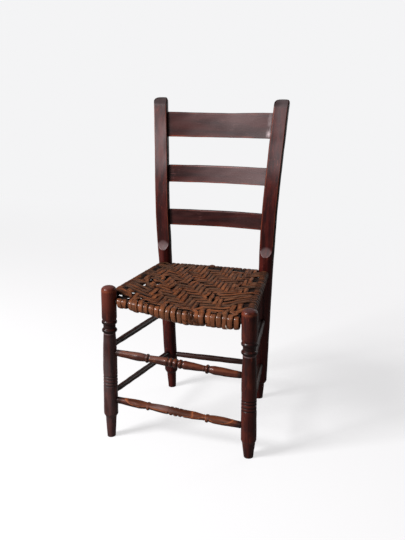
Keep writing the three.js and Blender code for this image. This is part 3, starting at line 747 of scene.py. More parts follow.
# %% Make the rear posts
def rear_post(side, name, seed):
    ear_from = rear_post_height - ear_front_height - (right_ear_wear if side == RIGHT else 0)
    heights = np.concatenate([
        np.arange(0, scoop_tip - 4, plain_step), np.arange(scoop_tip - 4, 500, scoop_step),
        np.arange(500, ear_from, plain_step)])
    ears = np.concatenate([heights * 0, np.sin(np.linspace(0, 1, ear_rings) * np.pi / 2 * 0.985)])
    heights = np.concatenate([heights, ear_from + ears[-ear_rings:] * (ear_front_height - 0.8)])
    rows, flats, arrises, sideways = [], [], [], []
    for height, ear in zip(heights, ears):
        ring, flat, from_arris = rear_ring(side, float(height), float(ear))
        rows.append(ring + rear_axis(side, float(height)))
        flats.append(flat)
        arrises.append(from_arris)
        sideways.append(ring[:, 0])
    rows = np.array(rows)
    outward = unit(rows - rows.mean(1, keepdims=True))
    uneven = np.minimum(ripple(rows, 40, seed), 0.7) - 0.7
    rows = rows + outward * (uneven * 0.22)[..., None]
    grain = rows - rear_axis(side, 0.0) + seed * grain_step
    rows[0, :, 2] = 0
    points, faces, grain = closed(rows, grain)
    around = rows.shape[1]
    marks = rear_post_marks(
        side, points, per_point(heights, around), per_point(ears, around),
        np.concatenate([np.ravel(sideways), [0.0, 0.0]]), np.concatenate([np.ravel(arrises), [9.0, 9.0]]),
        np.concatenate([np.ravel(flats), [False, True]]), seed)
    return make_piece(name, points, faces, grain, marks, rear_post_finish, [name])


rear_post(LEFT, "rear_left_post", 13)
rear_post(RIGHT, "rear_right_post", 14)

# %% [markdown]
# ## Slats
# Each slat is a thin board, bowed back between the posts for the sitter's back. Its corners are
# rubbed round, most of all along the lower edge, and its edges are a little uneven from the knife.
# A bevelled cube on a bent curve would come close. A ring of points swept from post to post was
# chosen, because its ends can then follow the posts' own bend.

# %% Slats
slat_thickness, slat_tenon_stop, slat_set_back = 8.0, 6.0, 1.5
slat_corner, slat_rings = 2.2, 170
# Sheen and highlight_line set the strength of a slat's painted sheen and painted highlight line.
SLATS = {
    "lower_slat": dict(
        low=537.5, high=586.5, rise=0.6, bow=13.0, dip=0.0, seed=21, sheen=0.0, highlight_line=0.35),
    "middle_slat": dict(
        low=667.0, high=718.0, rise=0.6, bow=12.0, dip=0.0, seed=22, sheen=0.14, highlight_line=0.75),
    "top_slat": dict(
        low=799.5, high=872.5, rise=1.8, bow=6.0, dip=2.5, seed=23, sheen=0.13, highlight_line=0.3),
}


def board_ring(half_height, half_thick, corner, face_points=18, edge_points=4, arc_points=5):
    """A rounded oblong seen from its end: (across the thickness, up), one ring of points."""
    inner_y, inner_z = half_thick - corner, half_height - corner
    corners = (inner_y, inner_z), (-inner_y, inner_z), (-inner_y, -inner_z), (inner_y, -inner_z)
    arcs = []
    for k, (y, z) in enumerate(corners):
        turn = np.radians(90 * k + np.linspace(0, 90, arc_points))
        arcs.append(np.stack([y + corner * np.cos(turn), z + corner * np.sin(turn)], -1))
    ring = []
    for k, arc in enumerate(arcs):
        ring.append(arc)
        start, end = arc[-1], arcs[(k + 1) % 4][0]
        inner = edge_points if k % 2 == 0 else face_points
        share = np.linspace(0, 1, inner + 2)[1:-1, None]
        ring.append(start + (end - start) * share)
    return np.concatenate(ring)


print("points round a slat:", len(board_ring(25, 4, 2)))

# %% Where a slat is worn
def slat_marks(points, across, upward, front, half_height, seed, sheen, highlight_line):
    """Across runs from 0 to 1 along the slat, and upward from -1 to 1 over its face."""
    from_foot, from_crown = (1 + upward) * half_height, (1 - upward) * half_height
    patchy = (0.6 + 0.35 * ripple(points, 60, seed + 1)).clip(0, 0.95)
    rubbed = (bell(from_foot, 1.6, 1.5) + bell(from_crown, 2.2, 1.0) * 0.5 * front) * patchy
    # A painted highlight line just under the top edge of the front, added to bare and pale.
    bright = bell(from_crown, 2.6, 1.1) * front * ease(hump(across), 0.25, 0.8) * highlight_line
    bright = bright * (0.8 + 0.3 * ripple(points * [1, 0, 0], 45, seed + 5)).clip(0, 1)
    crown = ease(-from_crown, -1.4, -0.4)
    ends = ease(np.abs(across - 0.5), 0.40, 0.455) * 0.35
    dull = front * ease(ripple(points * [1, 1, 1.6], 90, seed + 2), -0.4, 1.0) * 0.25
    cloudy = (0.9 + 0.16 * ripple(points * [1, 1, 1.5], 110, seed + 3)).clip(0, 1)
    # A painted grey sheen over the front, stronger to the right, added to pale.
    painted_sheen = front * ease(across, 0.0, 0.75) * cloudy
    return dict(no_marks, bare=np.maximum(rubbed, bright), shade=np.maximum(ends, crown * 0.5), thin=dull,
                pale=np.maximum(painted_sheen * sheen, bright * 0.45))


def scuff_by_post(points, across, upward, front, seed):
    """A pale scuff near the right end of a slat, stronger in its lower half."""
    strength = bell(upward, 0.3, 0.7) * 0.45 + bell(upward, -0.65, 0.25) * 0.85
    scuff = bell(across, 0.935, 0.02) * strength * front
    return scuff * (0.8 + 0.3 * ripple(points * [3, 1, 1], 16, seed + 4)).clip(0, 1)


# %% Make the slats
def slat(name, low, high, rise, bow, dip, seed, sheen, highlight_line):
    shares = np.linspace(0, 1, slat_rings)
    half_height = (high - low) / 2
    ring = board_ring(half_height - 0.1, slat_thickness / 2 - 0.1, slat_corner)
    around = len(ring)
    y, up = ring[:, 0], ring[:, 1] / (half_height - 0.1)
    share = shares[:, None]
    bottom = low + rise * share
    top = high + rise * share - dip * hump(share)
    height = (bottom + top) / 2 + up * (top - bottom) / 2
    post = rear_axis(RIGHT, height)
    reach = post[..., 0] - rear_frame_shift - slat_tenon_stop
    x = rear_frame_shift + (2 * share - 1) * reach
    back = slat_set_back + bow * np.sin(np.pi * share)
    rows = np.stack([x, post[..., 1] + back + y, height], -1)
    inward = np.stack([y * 0, -np.sign(y) * (np.abs(up) < 0.97), -up * (np.abs(up) > 0.9)], -1)
    rows = rows + inward * (0.2 + 0.25 * ripple(rows * [0.4, 0, 1], 30, seed))[..., None].clip(0)
    grain = np.stack([rows[..., 1] - post[..., 1], rows[..., 2], rows[..., 0]], -1) + seed * grain_step
    points, faces, grain = closed(rows[::-1], grain[::-1])
    across = per_point(shares[::-1], around)
    upward = np.concatenate([np.tile(up, len(shares)), [0, 0]])
    front = np.concatenate([np.tile(y < 0, len(shares)), [False, False]])
    marks = slat_marks(points, across, upward, front, half_height, seed, sheen, highlight_line)
    if name == "top_slat":
        marks["pale"] = np.maximum(marks["pale"], scuff_by_post(points, across, upward, front, seed))
    return make_piece(name, points, faces, grain, marks, slat_finish, [name])


for slat_name, sizes in SLATS.items():
    slat(slat_name, **sizes)

# %% [markdown]
# ## Plain stretchers and rails
# The side and rear stretchers were shaved round by hand, so they swell a little in the middle and
# are not quite true. The rails under the seat are the same kind of stick, and the front one hangs.
# A cylinder is too true for either, so they are swept like the turned sticks, with more wobble.

# %% Plain sticks
side_end_radius, side_radius = 8.1, 8.9
rear_end_radius, rear_stick_radius = 8.4, 9.6
rod_around, rod_step = 30, 2.5
hidden_in_post = 8.0


def plain_stick(name, start, end, start_radius, end_radius, ends, middle, seed, material,
                dip=0.0):
    """Ends and middle are radii. The stick shows between the skins of the two posts."""
    length = float(np.linalg.norm(end - start))
    depths = np.arange(start_radius - hidden_in_post, length - end_radius + hidden_in_post, rod_step)
    share = (depths - start_radius) / (length - start_radius - end_radius)
    radii = mix(ends, middle, np.sin(np.pi * share.clip(0, 1)))
    radii = np.where((share < 0) | (share > 1), np.minimum(radii, ends - 0.9), radii)
    rows, grain = turned(start, end, depths, radii, rod_around, seed, wobble=0.35, oval=0.03)
    rows[..., 2] -= (dip * hump(depths / length))[:, None]
    points, faces, grain = closed(rows, grain)
    share = per_point(share, rod_around)
    near_post = np.maximum(bell(share, 0, 0.035), bell(share, 1, 0.035)) * 0.7
    marks = dict(no_marks, shade=near_post)
    return make_piece(name, points, faces, grain, marks, material, [name])


SIDE_STRETCHERS = {
    "left_upper_stretcher": (LEFT, 269.5, 263.5, 31),
    "left_lower_stretcher": (LEFT, 129.5, 120.5, 32),
    "right_upper_stretcher": (RIGHT, 267.5, 262.0, 33),
    "right_lower_stretcher": (RIGHT, 129.5, 118.0, 34),
}
for stick_name, (side, front_height, back_height, seed) in SIDE_STRETCHERS.items():
    plain_stick(stick_name, front_end(side, front_height), rear_axis(side, back_height),
                FRONT_RADIUS[side], REAR_RADIUS[side], side_end_radius, side_radius, seed,
                dark_stretcher_finish)

rear_stretcher_height = 112.8
rear_left, rear_right = rear_axis(LEFT, rear_stretcher_height), rear_axis(RIGHT, rear_stretcher_height)
plain_stick("rear_stretcher", rear_left, rear_right, REAR_RADIUS[LEFT], REAR_RADIUS[RIGHT],
            rear_end_radius, rear_stick_radius, 35, dark_stretcher_finish)

# %% Seat rails
RAILS = {
    "front": dict(start=front_end(LEFT, 402.5), end=front_end(RIGHT, 399.5), ends=8.6, middle=11.5, dip=9.0),
    "back": dict(start=rear_axis(LEFT, 405.0), end=rear_axis(RIGHT, 405.0), ends=9.0, middle=9.8, dip=0.0),
    "left": dict(start=front_end(LEFT, 410.5), end=rear_axis(LEFT, 413.0), ends=9.0, middle=9.8, dip=0.0),
    "right": dict(start=front_end(RIGHT, 413.5), end=rear_axis(RIGHT, 413.0), ends=9.0, middle=9.8, dip=0.0),
}
rail_wood = wood_finish(
    "rail_wood", deep=look(40, 26, 20), warm=look(62, 40, 30), thin=look(78, 52, 38),
    bare=look(104, 72, 52), dirt_and_shade=look(20, 15, 13), rubbed=0.4, scuffed=0.3, roughness=0.7, coat=0.0)
for k, (rail_side, rail) in enumerate(RAILS.items()):
    first = REAR_RADIUS if rail_side == "back" else FRONT_RADIUS
    last = FRONT_RADIUS if rail_side == "front" else REAR_RADIUS
    plain_stick(f"{rail_side}_seat_rail", rail["start"], rail["end"],
                first[RIGHT if rail_side == "right" else LEFT], last[LEFT if rail_side == "left" else RIGHT],
                rail["ends"], rail["middle"], 41 + k, rail_wood, rail["dip"])

# %% [markdown]
# ## Turned front stretchers
# Both front stretchers came off the same pattern: three beads in the middle, a ring on each side and
# swells between. Feet have worn the lower one on its upper front, right through the beads. A boolean
# cut would leave a hard edge there. Instead each point that stands beyond the worn surface, a wide
# round one, is pushed back onto it, and how far it was pushed marks it for the finish.

# %% Front stretcher outline
turning_around = 36
turning_end, turning_swell, turning_bead = 9.4, 12.0, 12.7
cut_width = 1.3


def stretcher_outline(place):
    """Radius against the distance from the stretcher's middle, with the left side below nothing."""
    outline = base_outline(place, [
        (-200, turning_end - 0.2), (-172, turning_end), (-135, 11.2), (-112, turning_swell), (-96, 10.8),
        (-90, 9.6), (-80, 9.8), (-70, 10.0), (-48, 11.4), (-31, turning_swell + 0.2), (-26, 11.2),
        (15, 11.2), (20, turning_swell + 0.2), (44, 11.2), (71, 8.4), (77, 8.9), (89, 9.4),
        (102, turning_swell), (130, 11.6), (172, turning_end), (200, turning_end - 0.2)], 2.0)
    for centre, half, radius in (
        (-86.3, 4.6, turning_bead), (83.2, 4.6, turning_bead), (-18.9, 5.2, turning_bead),
        (-5.5, 6.0, turning_bead + 0.2), (7.8, 5.2, turning_bead)):
        outline = bead(place, outline, centre, half, radius)
    for cut_at, depth in ((-25.2, 1.6), (-12.6, 1.8), (1.6, 1.8), (14.4, 1.6), (-80.6, 0.8), (77.4, 0.8)):
        outline = groove(place, outline, cut_at, cut_width, depth)
    return outline


print("thickest turning:", 2 * stretcher_outline(np.linspace(-180, 180, 400)).max().round(1), "mm")

# %% Where feet have worn a stretcher
wear_tilt, wear_hub = math.radians(30), 7.0
wear_facing = np.array([0, -math.sin(wear_tilt), math.cos(wear_tilt)])
wear_most, wear_less_at_ends, wear_wave = 5.1, 2.4, 0.7


def trodden(rows, centres, place, seed, worn):
    """The rows with what feet wore away, and how far beyond the worn surface each point stood."""
    less_at_ends = wear_less_at_ends * ease(np.abs(place - 8), 90, 168)
    wave = wear_wave * np.sin(place / 33) * bell(place, 0, 90)
    kept = turning_bead - worn * (wear_most - less_at_ends + wave)
    from_hub = (rows - centres + wear_facing * wear_hub) * [0, 1, 1]
    uneven = 0.35 * ripple(rows, 30, seed + 7) * worn
    beyond = np.linalg.norm(from_hub, axis=-1) - wear_hub - kept[:, None] + uneven
    return rows - np.maximum(beyond, 0)[..., None] * unit(from_hub) * (worn > 0), beyond


print("the worn surface faces forward and up by", round(math.degrees(wear_tilt)), "degrees from upright")

# %% How the two front stretchers are marked
def worn_marks(points, along, beyond, up, seed, shade):
    """The flat where feet rest: an orange border, curved patches, a grey stretch and streaks."""
    flat_part = ease(beyond, 0.4, 1.8)
    border = bell(beyond, 0.15, 0.32) * (np.abs(along) < 168)
    pinkish = bell(along, -48, 22) * flat_part
    dark_patch = ease(along, -34, -22) * ease(-along, -42, -30)
    curved = along + 0.6 * np.abs(up - 2)
    patch_ends = (bell(curved, 44, 2.2) + bell(curved, 80, 2.0) * 0.8) * ease(beyond, -0.2, 0.4)
    streaks = ripple(points * [0.16, 1, 1], 9, seed + 8)
    grey = flat_part * (0.45 * dark_patch + 0.45 * ease(streaks, -0.2, 0.9))
    shade = np.clip(np.maximum(shade * ease(-beyond, -1.0, 0.0), grey), 0, 0.95)
    return dict(no_marks, bare=np.maximum(border, patch_ends) * 0.7, thin=flat_part * 0.28,
                pale=pinkish * 0.12, shade=shade)


def handled_marks(points, along, up, seed, shade):
    """The upper stretcher is thin on top and darker and greyer to the left."""
    upper = ease(up, 2, 9)
    left = ease(-along, 0, 60)
    patchy = ease(ripple(points, 36, seed + 8), -0.6, 0.8)
    return dict(no_marks, thin=upper * (0.45 - 0.1 * left) * patchy, pale=left * upper * 0.05,
                shade=np.maximum(shade, left * 0.12))


# %% Make the turned front stretchers
turning_step = 0.8
DIRTY_CUTS = (-25.2, -12.6, 1.6, 14.4, -80.6, 77.4, -91.8, 88.6)


def turned_stretcher(name, left_height, right_height, seed, worn):
    start, end = front_end(LEFT, left_height), front_end(RIGHT, right_height)
    length = float(np.linalg.norm(end - start))
    first, last = FRONT_RADIUS[LEFT], length - FRONT_RADIUS[RIGHT]
    depths = np.arange(first - hidden_in_post, last + hidden_in_post, turning_step)
    place = depths - length / 2
    inside = (depths > first) & (depths < last)
    radii = np.where(inside, stretcher_outline(place), turning_end - 1.2)
    rows, grain = turned(start, end, depths, radii, turning_around, seed, wobble=0.3, oval=0.015)
    centres = (start + depths[:, None] * unit(end - start))[:, None]
    rows, beyond = trodden(rows, centres, place, seed, worn)
    points, faces, grain = closed(rows, grain)
    along = per_point(place, turning_around)
    up = points[:, 2] - per_point(centres[:, 0, 2], turning_around)
    ends = ease(np.abs(along), 160, 172) * 0.8
    cuts = sum(bell(along, at, 1.6) for at in DIRTY_CUTS)
    shade = np.clip(ends + cuts * 0.8, 0, 0.95)
    if worn:
        marks = worn_marks(points, along, np.concatenate([beyond.ravel(), [-1, -1]]), up, seed, shade)
    else:
        marks = handled_marks(points, along, up, seed, shade)
    return make_piece(name, points, faces, grain, marks, stretcher_finish, [name])


turned_stretcher("front_upper_stretcher", 254.0, 250.0, 51, 0.0)
turned_stretcher("front_lower_stretcher", 113.5, 107.5, 52, 1.0)

# %% [markdown]
# ## Where the seat lies
# Across runs from the left rail to the right one, and deep from the front rail to the back one. A
# subdivided plane could be sculpted to the seat's sag. A formula was chosen, because every strip asks
# it for its own height. Close to a rail the mat follows that rail, and further in it blends all four.
# The seat has sagged, and its underside hangs more than its top.

# %% Seat surface
strip_layer, top_sag, bottom_sag = 4.0, 7.0, 13.0
wrap_hang_most, wrap_hang_skew = 11.5, 1.6
weft_pull, weft_crowding, bow_left_end, bow_right_end = 0.1, 0.12, 0.26, 0.22
rail_clearance = 0.3


def rail_point(rail, share):
    share = np.asarray(share, float)
    point = rail["start"] + (rail["end"] - rail["start"]) * share[..., None]
    point[..., 2] -= rail["dip"] * hump(share)
    return point


def rail_radius(rail, share):
    return mix(rail["ends"], rail["middle"], np.sin(np.pi * share))


def mat_at(across, deep):
    """The mat's middle and half its height at arrays of places."""
    to_ends = np.minimum(deep, 1 - deep) * frame_depth + 1e-3
    to_sides = np.minimum(across, 1 - across) * front_foot_spread + 1e-3
    share = to_sides**-2.0 / (to_ends**-2.0 + to_sides**-2.0)
    along_ends = mix(rail_point(RAILS["front"], across), rail_point(RAILS["back"], across), deep[..., None])
    along_sides = mix(rail_point(RAILS["left"], deep), rail_point(RAILS["right"], deep), across[..., None])
    end_radius = mix(rail_radius(RAILS["front"], across), rail_radius(RAILS["back"], across), deep)
    side_radius_here = mix(rail_radius(RAILS["left"], deep), rail_radius(RAILS["right"], deep), across)
    middle = mix(along_ends, along_sides, share[..., None])
    return middle, mix(end_radius, side_radius_here, share) + rail_clearance


def pillow(across, deep):
    return np.sin(np.pi * across) * np.sin(np.pi * deep)


def wrap_hang(across, deep):
    """How much lower the wraps under the front rail hang, most to the right of its middle."""
    return wrap_hang_most * np.sin(np.pi * across**wrap_hang_skew) * (1 - deep) ** 4


def pulled_forward(across, deep):
    """On top, wefts leave the side rails behind the posts and bow towards the front rail."""
    bow = ease(across, 0, bow_left_end) * ease(1 - across, 0, bow_right_end)
    return np.maximum(weft_crowding * deep, deep - weft_pull * bow * (1 - deep))


centre, half = mat_at(np.array([0.5]), np.array([0.5]))
print("the mat's middle is at", centre.round(1), "and half its height is", half.round(1))

# %% [markdown]
# ## The weave
# Warps go round the front and back rails, and wefts round the side rails. On the way across the top
# and the bottom each strip dives over or under the other kind. In this twill a warp floats over three
# wefts and dives under three, a step further on each row, and near the right side it turns back. A
# woven pattern in bump would look flat at the rails, so each strip is a mesh of its own.

# %% The weave's pattern
warp_count, weft_count = 22, 20
float_length, turn_warp, twill_phase = 3, 17, 4
corner_across = (FRONT_RADIUS[RIGHT] + 4.0) / front_foot_spread
corner_deep = (FRONT_RADIUS[RIGHT] + 4.0) / frame_depth
draw = np.random.default_rng(77)
warp_places = mix(corner_across, 1 - corner_across, (np.arange(warp_count) + 0.5) / warp_count)
weft_places = mix(corner_deep, 1 - corner_deep, (np.arange(weft_count) + 0.5) / weft_count)
warp_places = warp_places + draw.normal(0, 0.0015, warp_count)
weft_places = weft_places + draw.normal(0, 0.002, weft_count)


def warp_on_top(warp, weft):
    step = warp if warp < turn_warp else 2 * turn_warp - warp
    return (step + weft + twill_phase) % (2 * float_length) < float_length


# A rule gives the twill, and near the edges a few crossings leave it.
over = np.array([[warp_on_top(k, j) for j in range(weft_count)] for k in range(warp_count)])
over[:4, 3:7] = False
over[18:, 3:8] = False
over[2:9, 18:] = True
print("share of crossings with the warp on top:", round(over.mean(), 2))

# %% Holes in the weave
# Each hole has its place, across and deep, and a size in mm. Strips move aside round it. Where light
# comes through, the underside has a larger hole on the same line of sight. A lit hole is also longer
# for the wefts, because it is seen at a low angle.
LIT_HOLES = [
    (0.075, 0.041, 3.0), (0.126, 0.030, 5.5), (0.130, 0.121, 6.0), (0.210, 0.396, 8.0), (0.127, 0.322, 7.0),
    (0.125, 0.446, 7.0),
]
lit_stretch, larger_below, dark_hole_scale = 2.8, 4.0, 1.3
DARK_HOLES = [
    (0.317, 0.526, 9.0), (0.867, 0.030, 12.0), (0.267, 0.025, 8.0), (0.210, 0.025, 6.0), (0.042, 0.674, 6.0),
    (0.045, 0.614, 5.0), (0.050, 0.466, 6.0), (0.596, 0.482, 6.0), (0.646, 0.489, 5.0), (0.524, 0.575, 6.0),
    (0.977, 0.352, 5.0), (0.845, 0.532, 5.0), (0.888, 0.068, 5.0), (0.692, 0.030, 5.0), (0.640, 0.025, 5.0),
    (0.833, 0.164, 5.0), (0.050, 0.900, 6.0), (0.256, 0.880, 5.0), (0.300, 0.620, 4.0), (0.200, 0.580, 4.0),
    (0.440, 0.620, 4.0), (0.700, 0.330, 4.0), (0.700, 0.240, 4.0), (0.640, 0.300, 4.0), (0.625, 0.090, 5.0),
    (0.790, 0.200, 4.0), (0.415, 0.060, 5.0), (0.278, 0.210, 4.0), (0.330, 0.350, 4.0), (0.800, 0.900, 4.0),
]
print(len(LIT_HOLES), "holes let light through, and", len(DARK_HOLES), "are dark")

# %% [markdown]
# ## One strip
# A strip of bark is thirteen to fifteen millimetres wide and less than two thick, a little crowned,
# and its width wanders. Each strip is one closed loop: over the top, round a rail, back below and
# round the other rail. A curve with a flat bevel could be the strip, but it would twist at the rails.
# So the path comes first, and then a ring of points is laid across it at each step.

# %% Strip loops
warp_width, weft_width, strip_thick, weave_rise = 14.8, 13.2, 1.5, 1.45
top_steps, below_steps, wrap_steps = 150, 92, 16


def lifted(shares, crossings, up, slack):
    """Height of a strip over the mat's middle layer: up, a float's slack and dives between."""
    signs = np.where(up, 1.0, -1.0)
    nearest = np.searchsorted(crossings, shares).clip(1, len(crossings) - 1)
    before, after = nearest - 1, nearest
    share = ((shares - crossings[before]) / (crossings[after] - crossings[before])).clip(0, 1)
    height = mix(signs[before], signs[after], ease(share, 0.18, 0.82))
    loose = mix(slack[before], slack[after], share)
    inside = (shares > crossings[0]) & (shares < crossings[-1])
    return height * weave_rise + loose * inside * np.maximum(height, 0)


def strip_ring(width, crown, turn):
    """A flat oval ring across one strip: sideways and outward."""
    outer = np.linspace(-1, 1, 9)
    inner = np.linspace(1, -1, 5) * 0.94
    sideways = np.concatenate([outer, inner]) * width / 2
    crowned = crown * (1 - outer**2) - 0.5 * np.abs(outer) ** 7
    out = np.concatenate([crowned, -strip_thick + 0.4 * crown * (1 - inner**2)])
    return sideways, out + np.sin(turn) * sideways


def strip_skin(path, outward, side, widths, crowns, turns, seed):
    rows, grain = [], []
    travelled = np.concatenate([[0], np.cumsum(np.linalg.norm(np.diff(path, axis=0), axis=1))])
    for k in range(len(path)):
        sideways, out = strip_ring(widths[k], crowns[k], turns[k])
        rows.append(path[k] + sideways[:, None] * side[k] + out[:, None] * outward[k])
        grain.append(np.stack([sideways, out, sideways * 0 + travelled[k]], -1))
    return np.array(rows), np.array(grain) + seed * grain_step


print("points across a strip:", len(strip_ring(warp_width, 1.0, 0.0)[0]))

# %% [markdown]
# ## The camera
# The camera stands high in front of the chair, to the right of its middle, and looks down a little. It
# could be set by eye. It was worked out from the chair's own corners instead, so that each stick
# comes where it should. It is set up before the strips, because the lit holes are lined up with it.

# %% Camera
camera_place = np.array([604.3, -1701.3, 1026.8])
camera_azimuth, camera_elevation, camera_roll = math.radians(17.4008), math.radians(16.1638), -0.005473
focal_pixels, photo_height, sensor_width = 731.22, 540, 36.0

level_part = np.array([math.sin(camera_azimuth), -math.cos(camera_azimuth), 0])
backward = level_part * math.cos(camera_elevation) + np.array([0, 0, math.sin(camera_elevation)])
rightward = unit(np.cross(-backward, [0, 0, 1]))
upward = np.cross(rightward, -backward)
cos_roll, sin_roll = math.cos(camera_roll), math.sin(camera_roll)
turn = np.array([[cos_roll, sin_roll], [-sin_roll, cos_roll]])
rightward, upward = turn @ np.stack([rightward, upward])
camera_data = bpy.data.cameras.new("camera")
camera_data.sensor_width = sensor_width
camera_data.lens = focal_pixels / photo_height * sensor_width
camera = bpy.data.objects.new("camera", camera_data)
bpy.context.scene.collection.objects.link(camera)
camera_turn = Matrix(np.stack([rightward, upward, backward], 1).tolist()).to_4x4()
camera.matrix_world = Matrix.Translation(Vector((camera_place + ORIGIN) * MM)) @ camera_turn
bpy.context.scene.camera = camera
print("lens:", round(camera_data.lens, 2))

# %% Holes as places in mm
def mat_surface(across, deep, face):
    """A point of the mat's outer skin. Face is 1 on top and -1 below."""
    across, deep = np.broadcast_arrays(np.asarray(across, float), np.asarray(deep, float))
    middle, half = mat_at(across, deep)
    sag = (top_sag if face > 0 else bottom_sag) * pillow(across, deep)
    hang = 0 if face > 0 else wrap_hang(across, deep)
    middle[..., 2] += face * (half + strip_layer * 0.6) - sag - hang
    return middle


def seen_below(place):
    """Where a look from the camera through a place on top meets the underside."""
    course = unit(place - camera_place)
    level = place[2] - 40.0
    for _ in range(4):
        point = place + course * (level - place[2]) / course[2]
        deep = np.clip(point[1] / frame_depth, 0.02, 0.98)
        half_width = np.interp(deep, [0, 1], [front_foot_spread / 2, rear_seat_spread / 2])
        across = np.clip(0.5 + point[0] / half_width / 2, 0.02, 0.98)
        level = mat_surface(across, deep, -1)[2]
    return point


top_holes = [(mat_surface(across, deep, 1), size, lit_stretch) for across, deep, size in LIT_HOLES]
below_holes = [(seen_below(place), size + larger_below, lit_stretch) for place, size, _ in top_holes]
for across, deep, size in DARK_HOLES:
    top_holes.append((mat_surface(across, deep, 1), size * dark_hole_scale, 1.0))
print("first lit hole:", top_holes[0][0].round(0), "meets the underside at", below_holes[0][0].round(0))

# %% Loops of the two kinds of strip
crown_height, crown_turn = 0.9, 0.22
neutral = strip_layer - weave_rise - crown_height


def loop_path(place, is_warp, lift_top, lift_below, extra_hang=0.0):
    """A closed loop: the top, the far wrap, the underside and the near wrap."""
    def level(share, face, lift):
        weft_deep = pulled_forward(share, place) if face > 0 else place + share * 0
        across, deep = (place + share * 0, 1 - share) if is_warp else (share, weft_deep)
        middle, half = mat_at(across, deep)
        sag = (top_sag if face > 0 else bottom_sag) * pillow(across, deep)
        hang = 0 if face > 0 else wrap_hang(across, deep) + extra_hang * (1 - deep) ** 4
        points = middle.copy()
        points[:, 2] += face * (half + neutral + lift) - sag - hang
        return points, middle, half, hang

    def wrap(end_middle, reach, hang, course, angles, lifts):
        reach = reach + lifts[0] * ease(-angles, -0.8, 0) + lifts[1] * ease(angles, np.pi - 0.8, np.pi)
        lower = np.where(np.cos(angles) < 0, reach + hang, reach)
        return end_middle + course * (np.sin(angles) * reach)[:, None] + np.stack(
            [angles * 0, angles * 0, np.cos(angles) * lower], -1)

    top_share = np.linspace(0, 1, top_steps)
    below_share = np.linspace(1, 0, below_steps)
    top, middle, half, _ = level(top_share, 1, lift_top)
    below, _, _, hang = level(below_share, -1, lift_below)
    angles = np.linspace(0, np.pi, wrap_steps + 2)[1:-1]
    if is_warp:
        courses = np.array([0, -1.0, 0]), np.array([0, 1.0, 0])
    else:
        right_run = RAILS["right"]["end"] - RAILS["right"]["start"]
        left_run = RAILS["left"]["end"] - RAILS["left"]["start"]
        to_right, to_left = [right_run[1], -right_run[0], 0], [-left_run[1], left_run[0], 0]
        courses = unit(np.array(to_right)), unit(np.array(to_left))
    hangs = (hang[0], hang[-1]) if is_warp else (0.0, 0.0)
    far_lifts, near_lifts = (lift_top[-1], lift_below[0]), (lift_top[0], lift_below[-1])
    far = wrap(middle[-1], half[-1] + neutral, hangs[0], courses[0], angles, far_lifts)
    near = wrap(middle[0], half[0] + neutral, hangs[1], courses[1], angles[::-1], near_lifts)
    return np.concatenate([top, far, below, near])


print("a strip's middle lies", round(neutral, 2), "mm off its rail")

# %% Strips step aside at a hole
step_aside = 0.004
top_near, below_near = 10.0, 16.0
path_wander, width_wander, wider_by_rail = 1.1, 0.11, 1.8


def push_aside(path, side, part, holes, width, near, is_warp):
    """Moves a part of the path sideways where the strip would cover a hole."""
    for place, size, stretch in holes:
        gap = (path[part] - place)[:, :2]
        beside = (gap * side[part][:, :2]).sum(1)
        along = np.sqrt(np.maximum((gap**2).sum(1) - beside**2, 0))
        room = size * (1 if is_warp else stretch) / 2 + width / 2
        sign = np.sign(beside[np.argmin(along)])
        shift = np.maximum(room - np.abs(beside), 0) * (np.abs(beside) < room) * bell(along, 0, near)
        path[part] += side[part] * (sign * shift)[:, None]


def settle(share, front_too):
    """Nothing at a rail and one away from it, so that a strip lies flat where it turns."""
    return ease(share, 0.01, 0.04) * (ease(1 - share, 0.01, 0.04) if front_too else 1.0)


print("a weft is", wider_by_rail, "mm wider where it turns round a rail")

# %% One strip as a mesh
def depth_in_weave(lifts, beside):
    """How much painted shade a point gets where its strip dives and along its edges. Below 0 it is proud of
    the others and is painted paler, partly as rubbing and partly as a highlight.
    """
    sunk = np.maximum(ease(-lifts, 0.0, 0.8)[:, None] * 0.9, ease(beside, 0.7, 1.0) * 0.75)
    return sunk - ease(lifts, 0.5, 1.0)[:, None] * (1 - ease(beside, 0.2, 0.85))


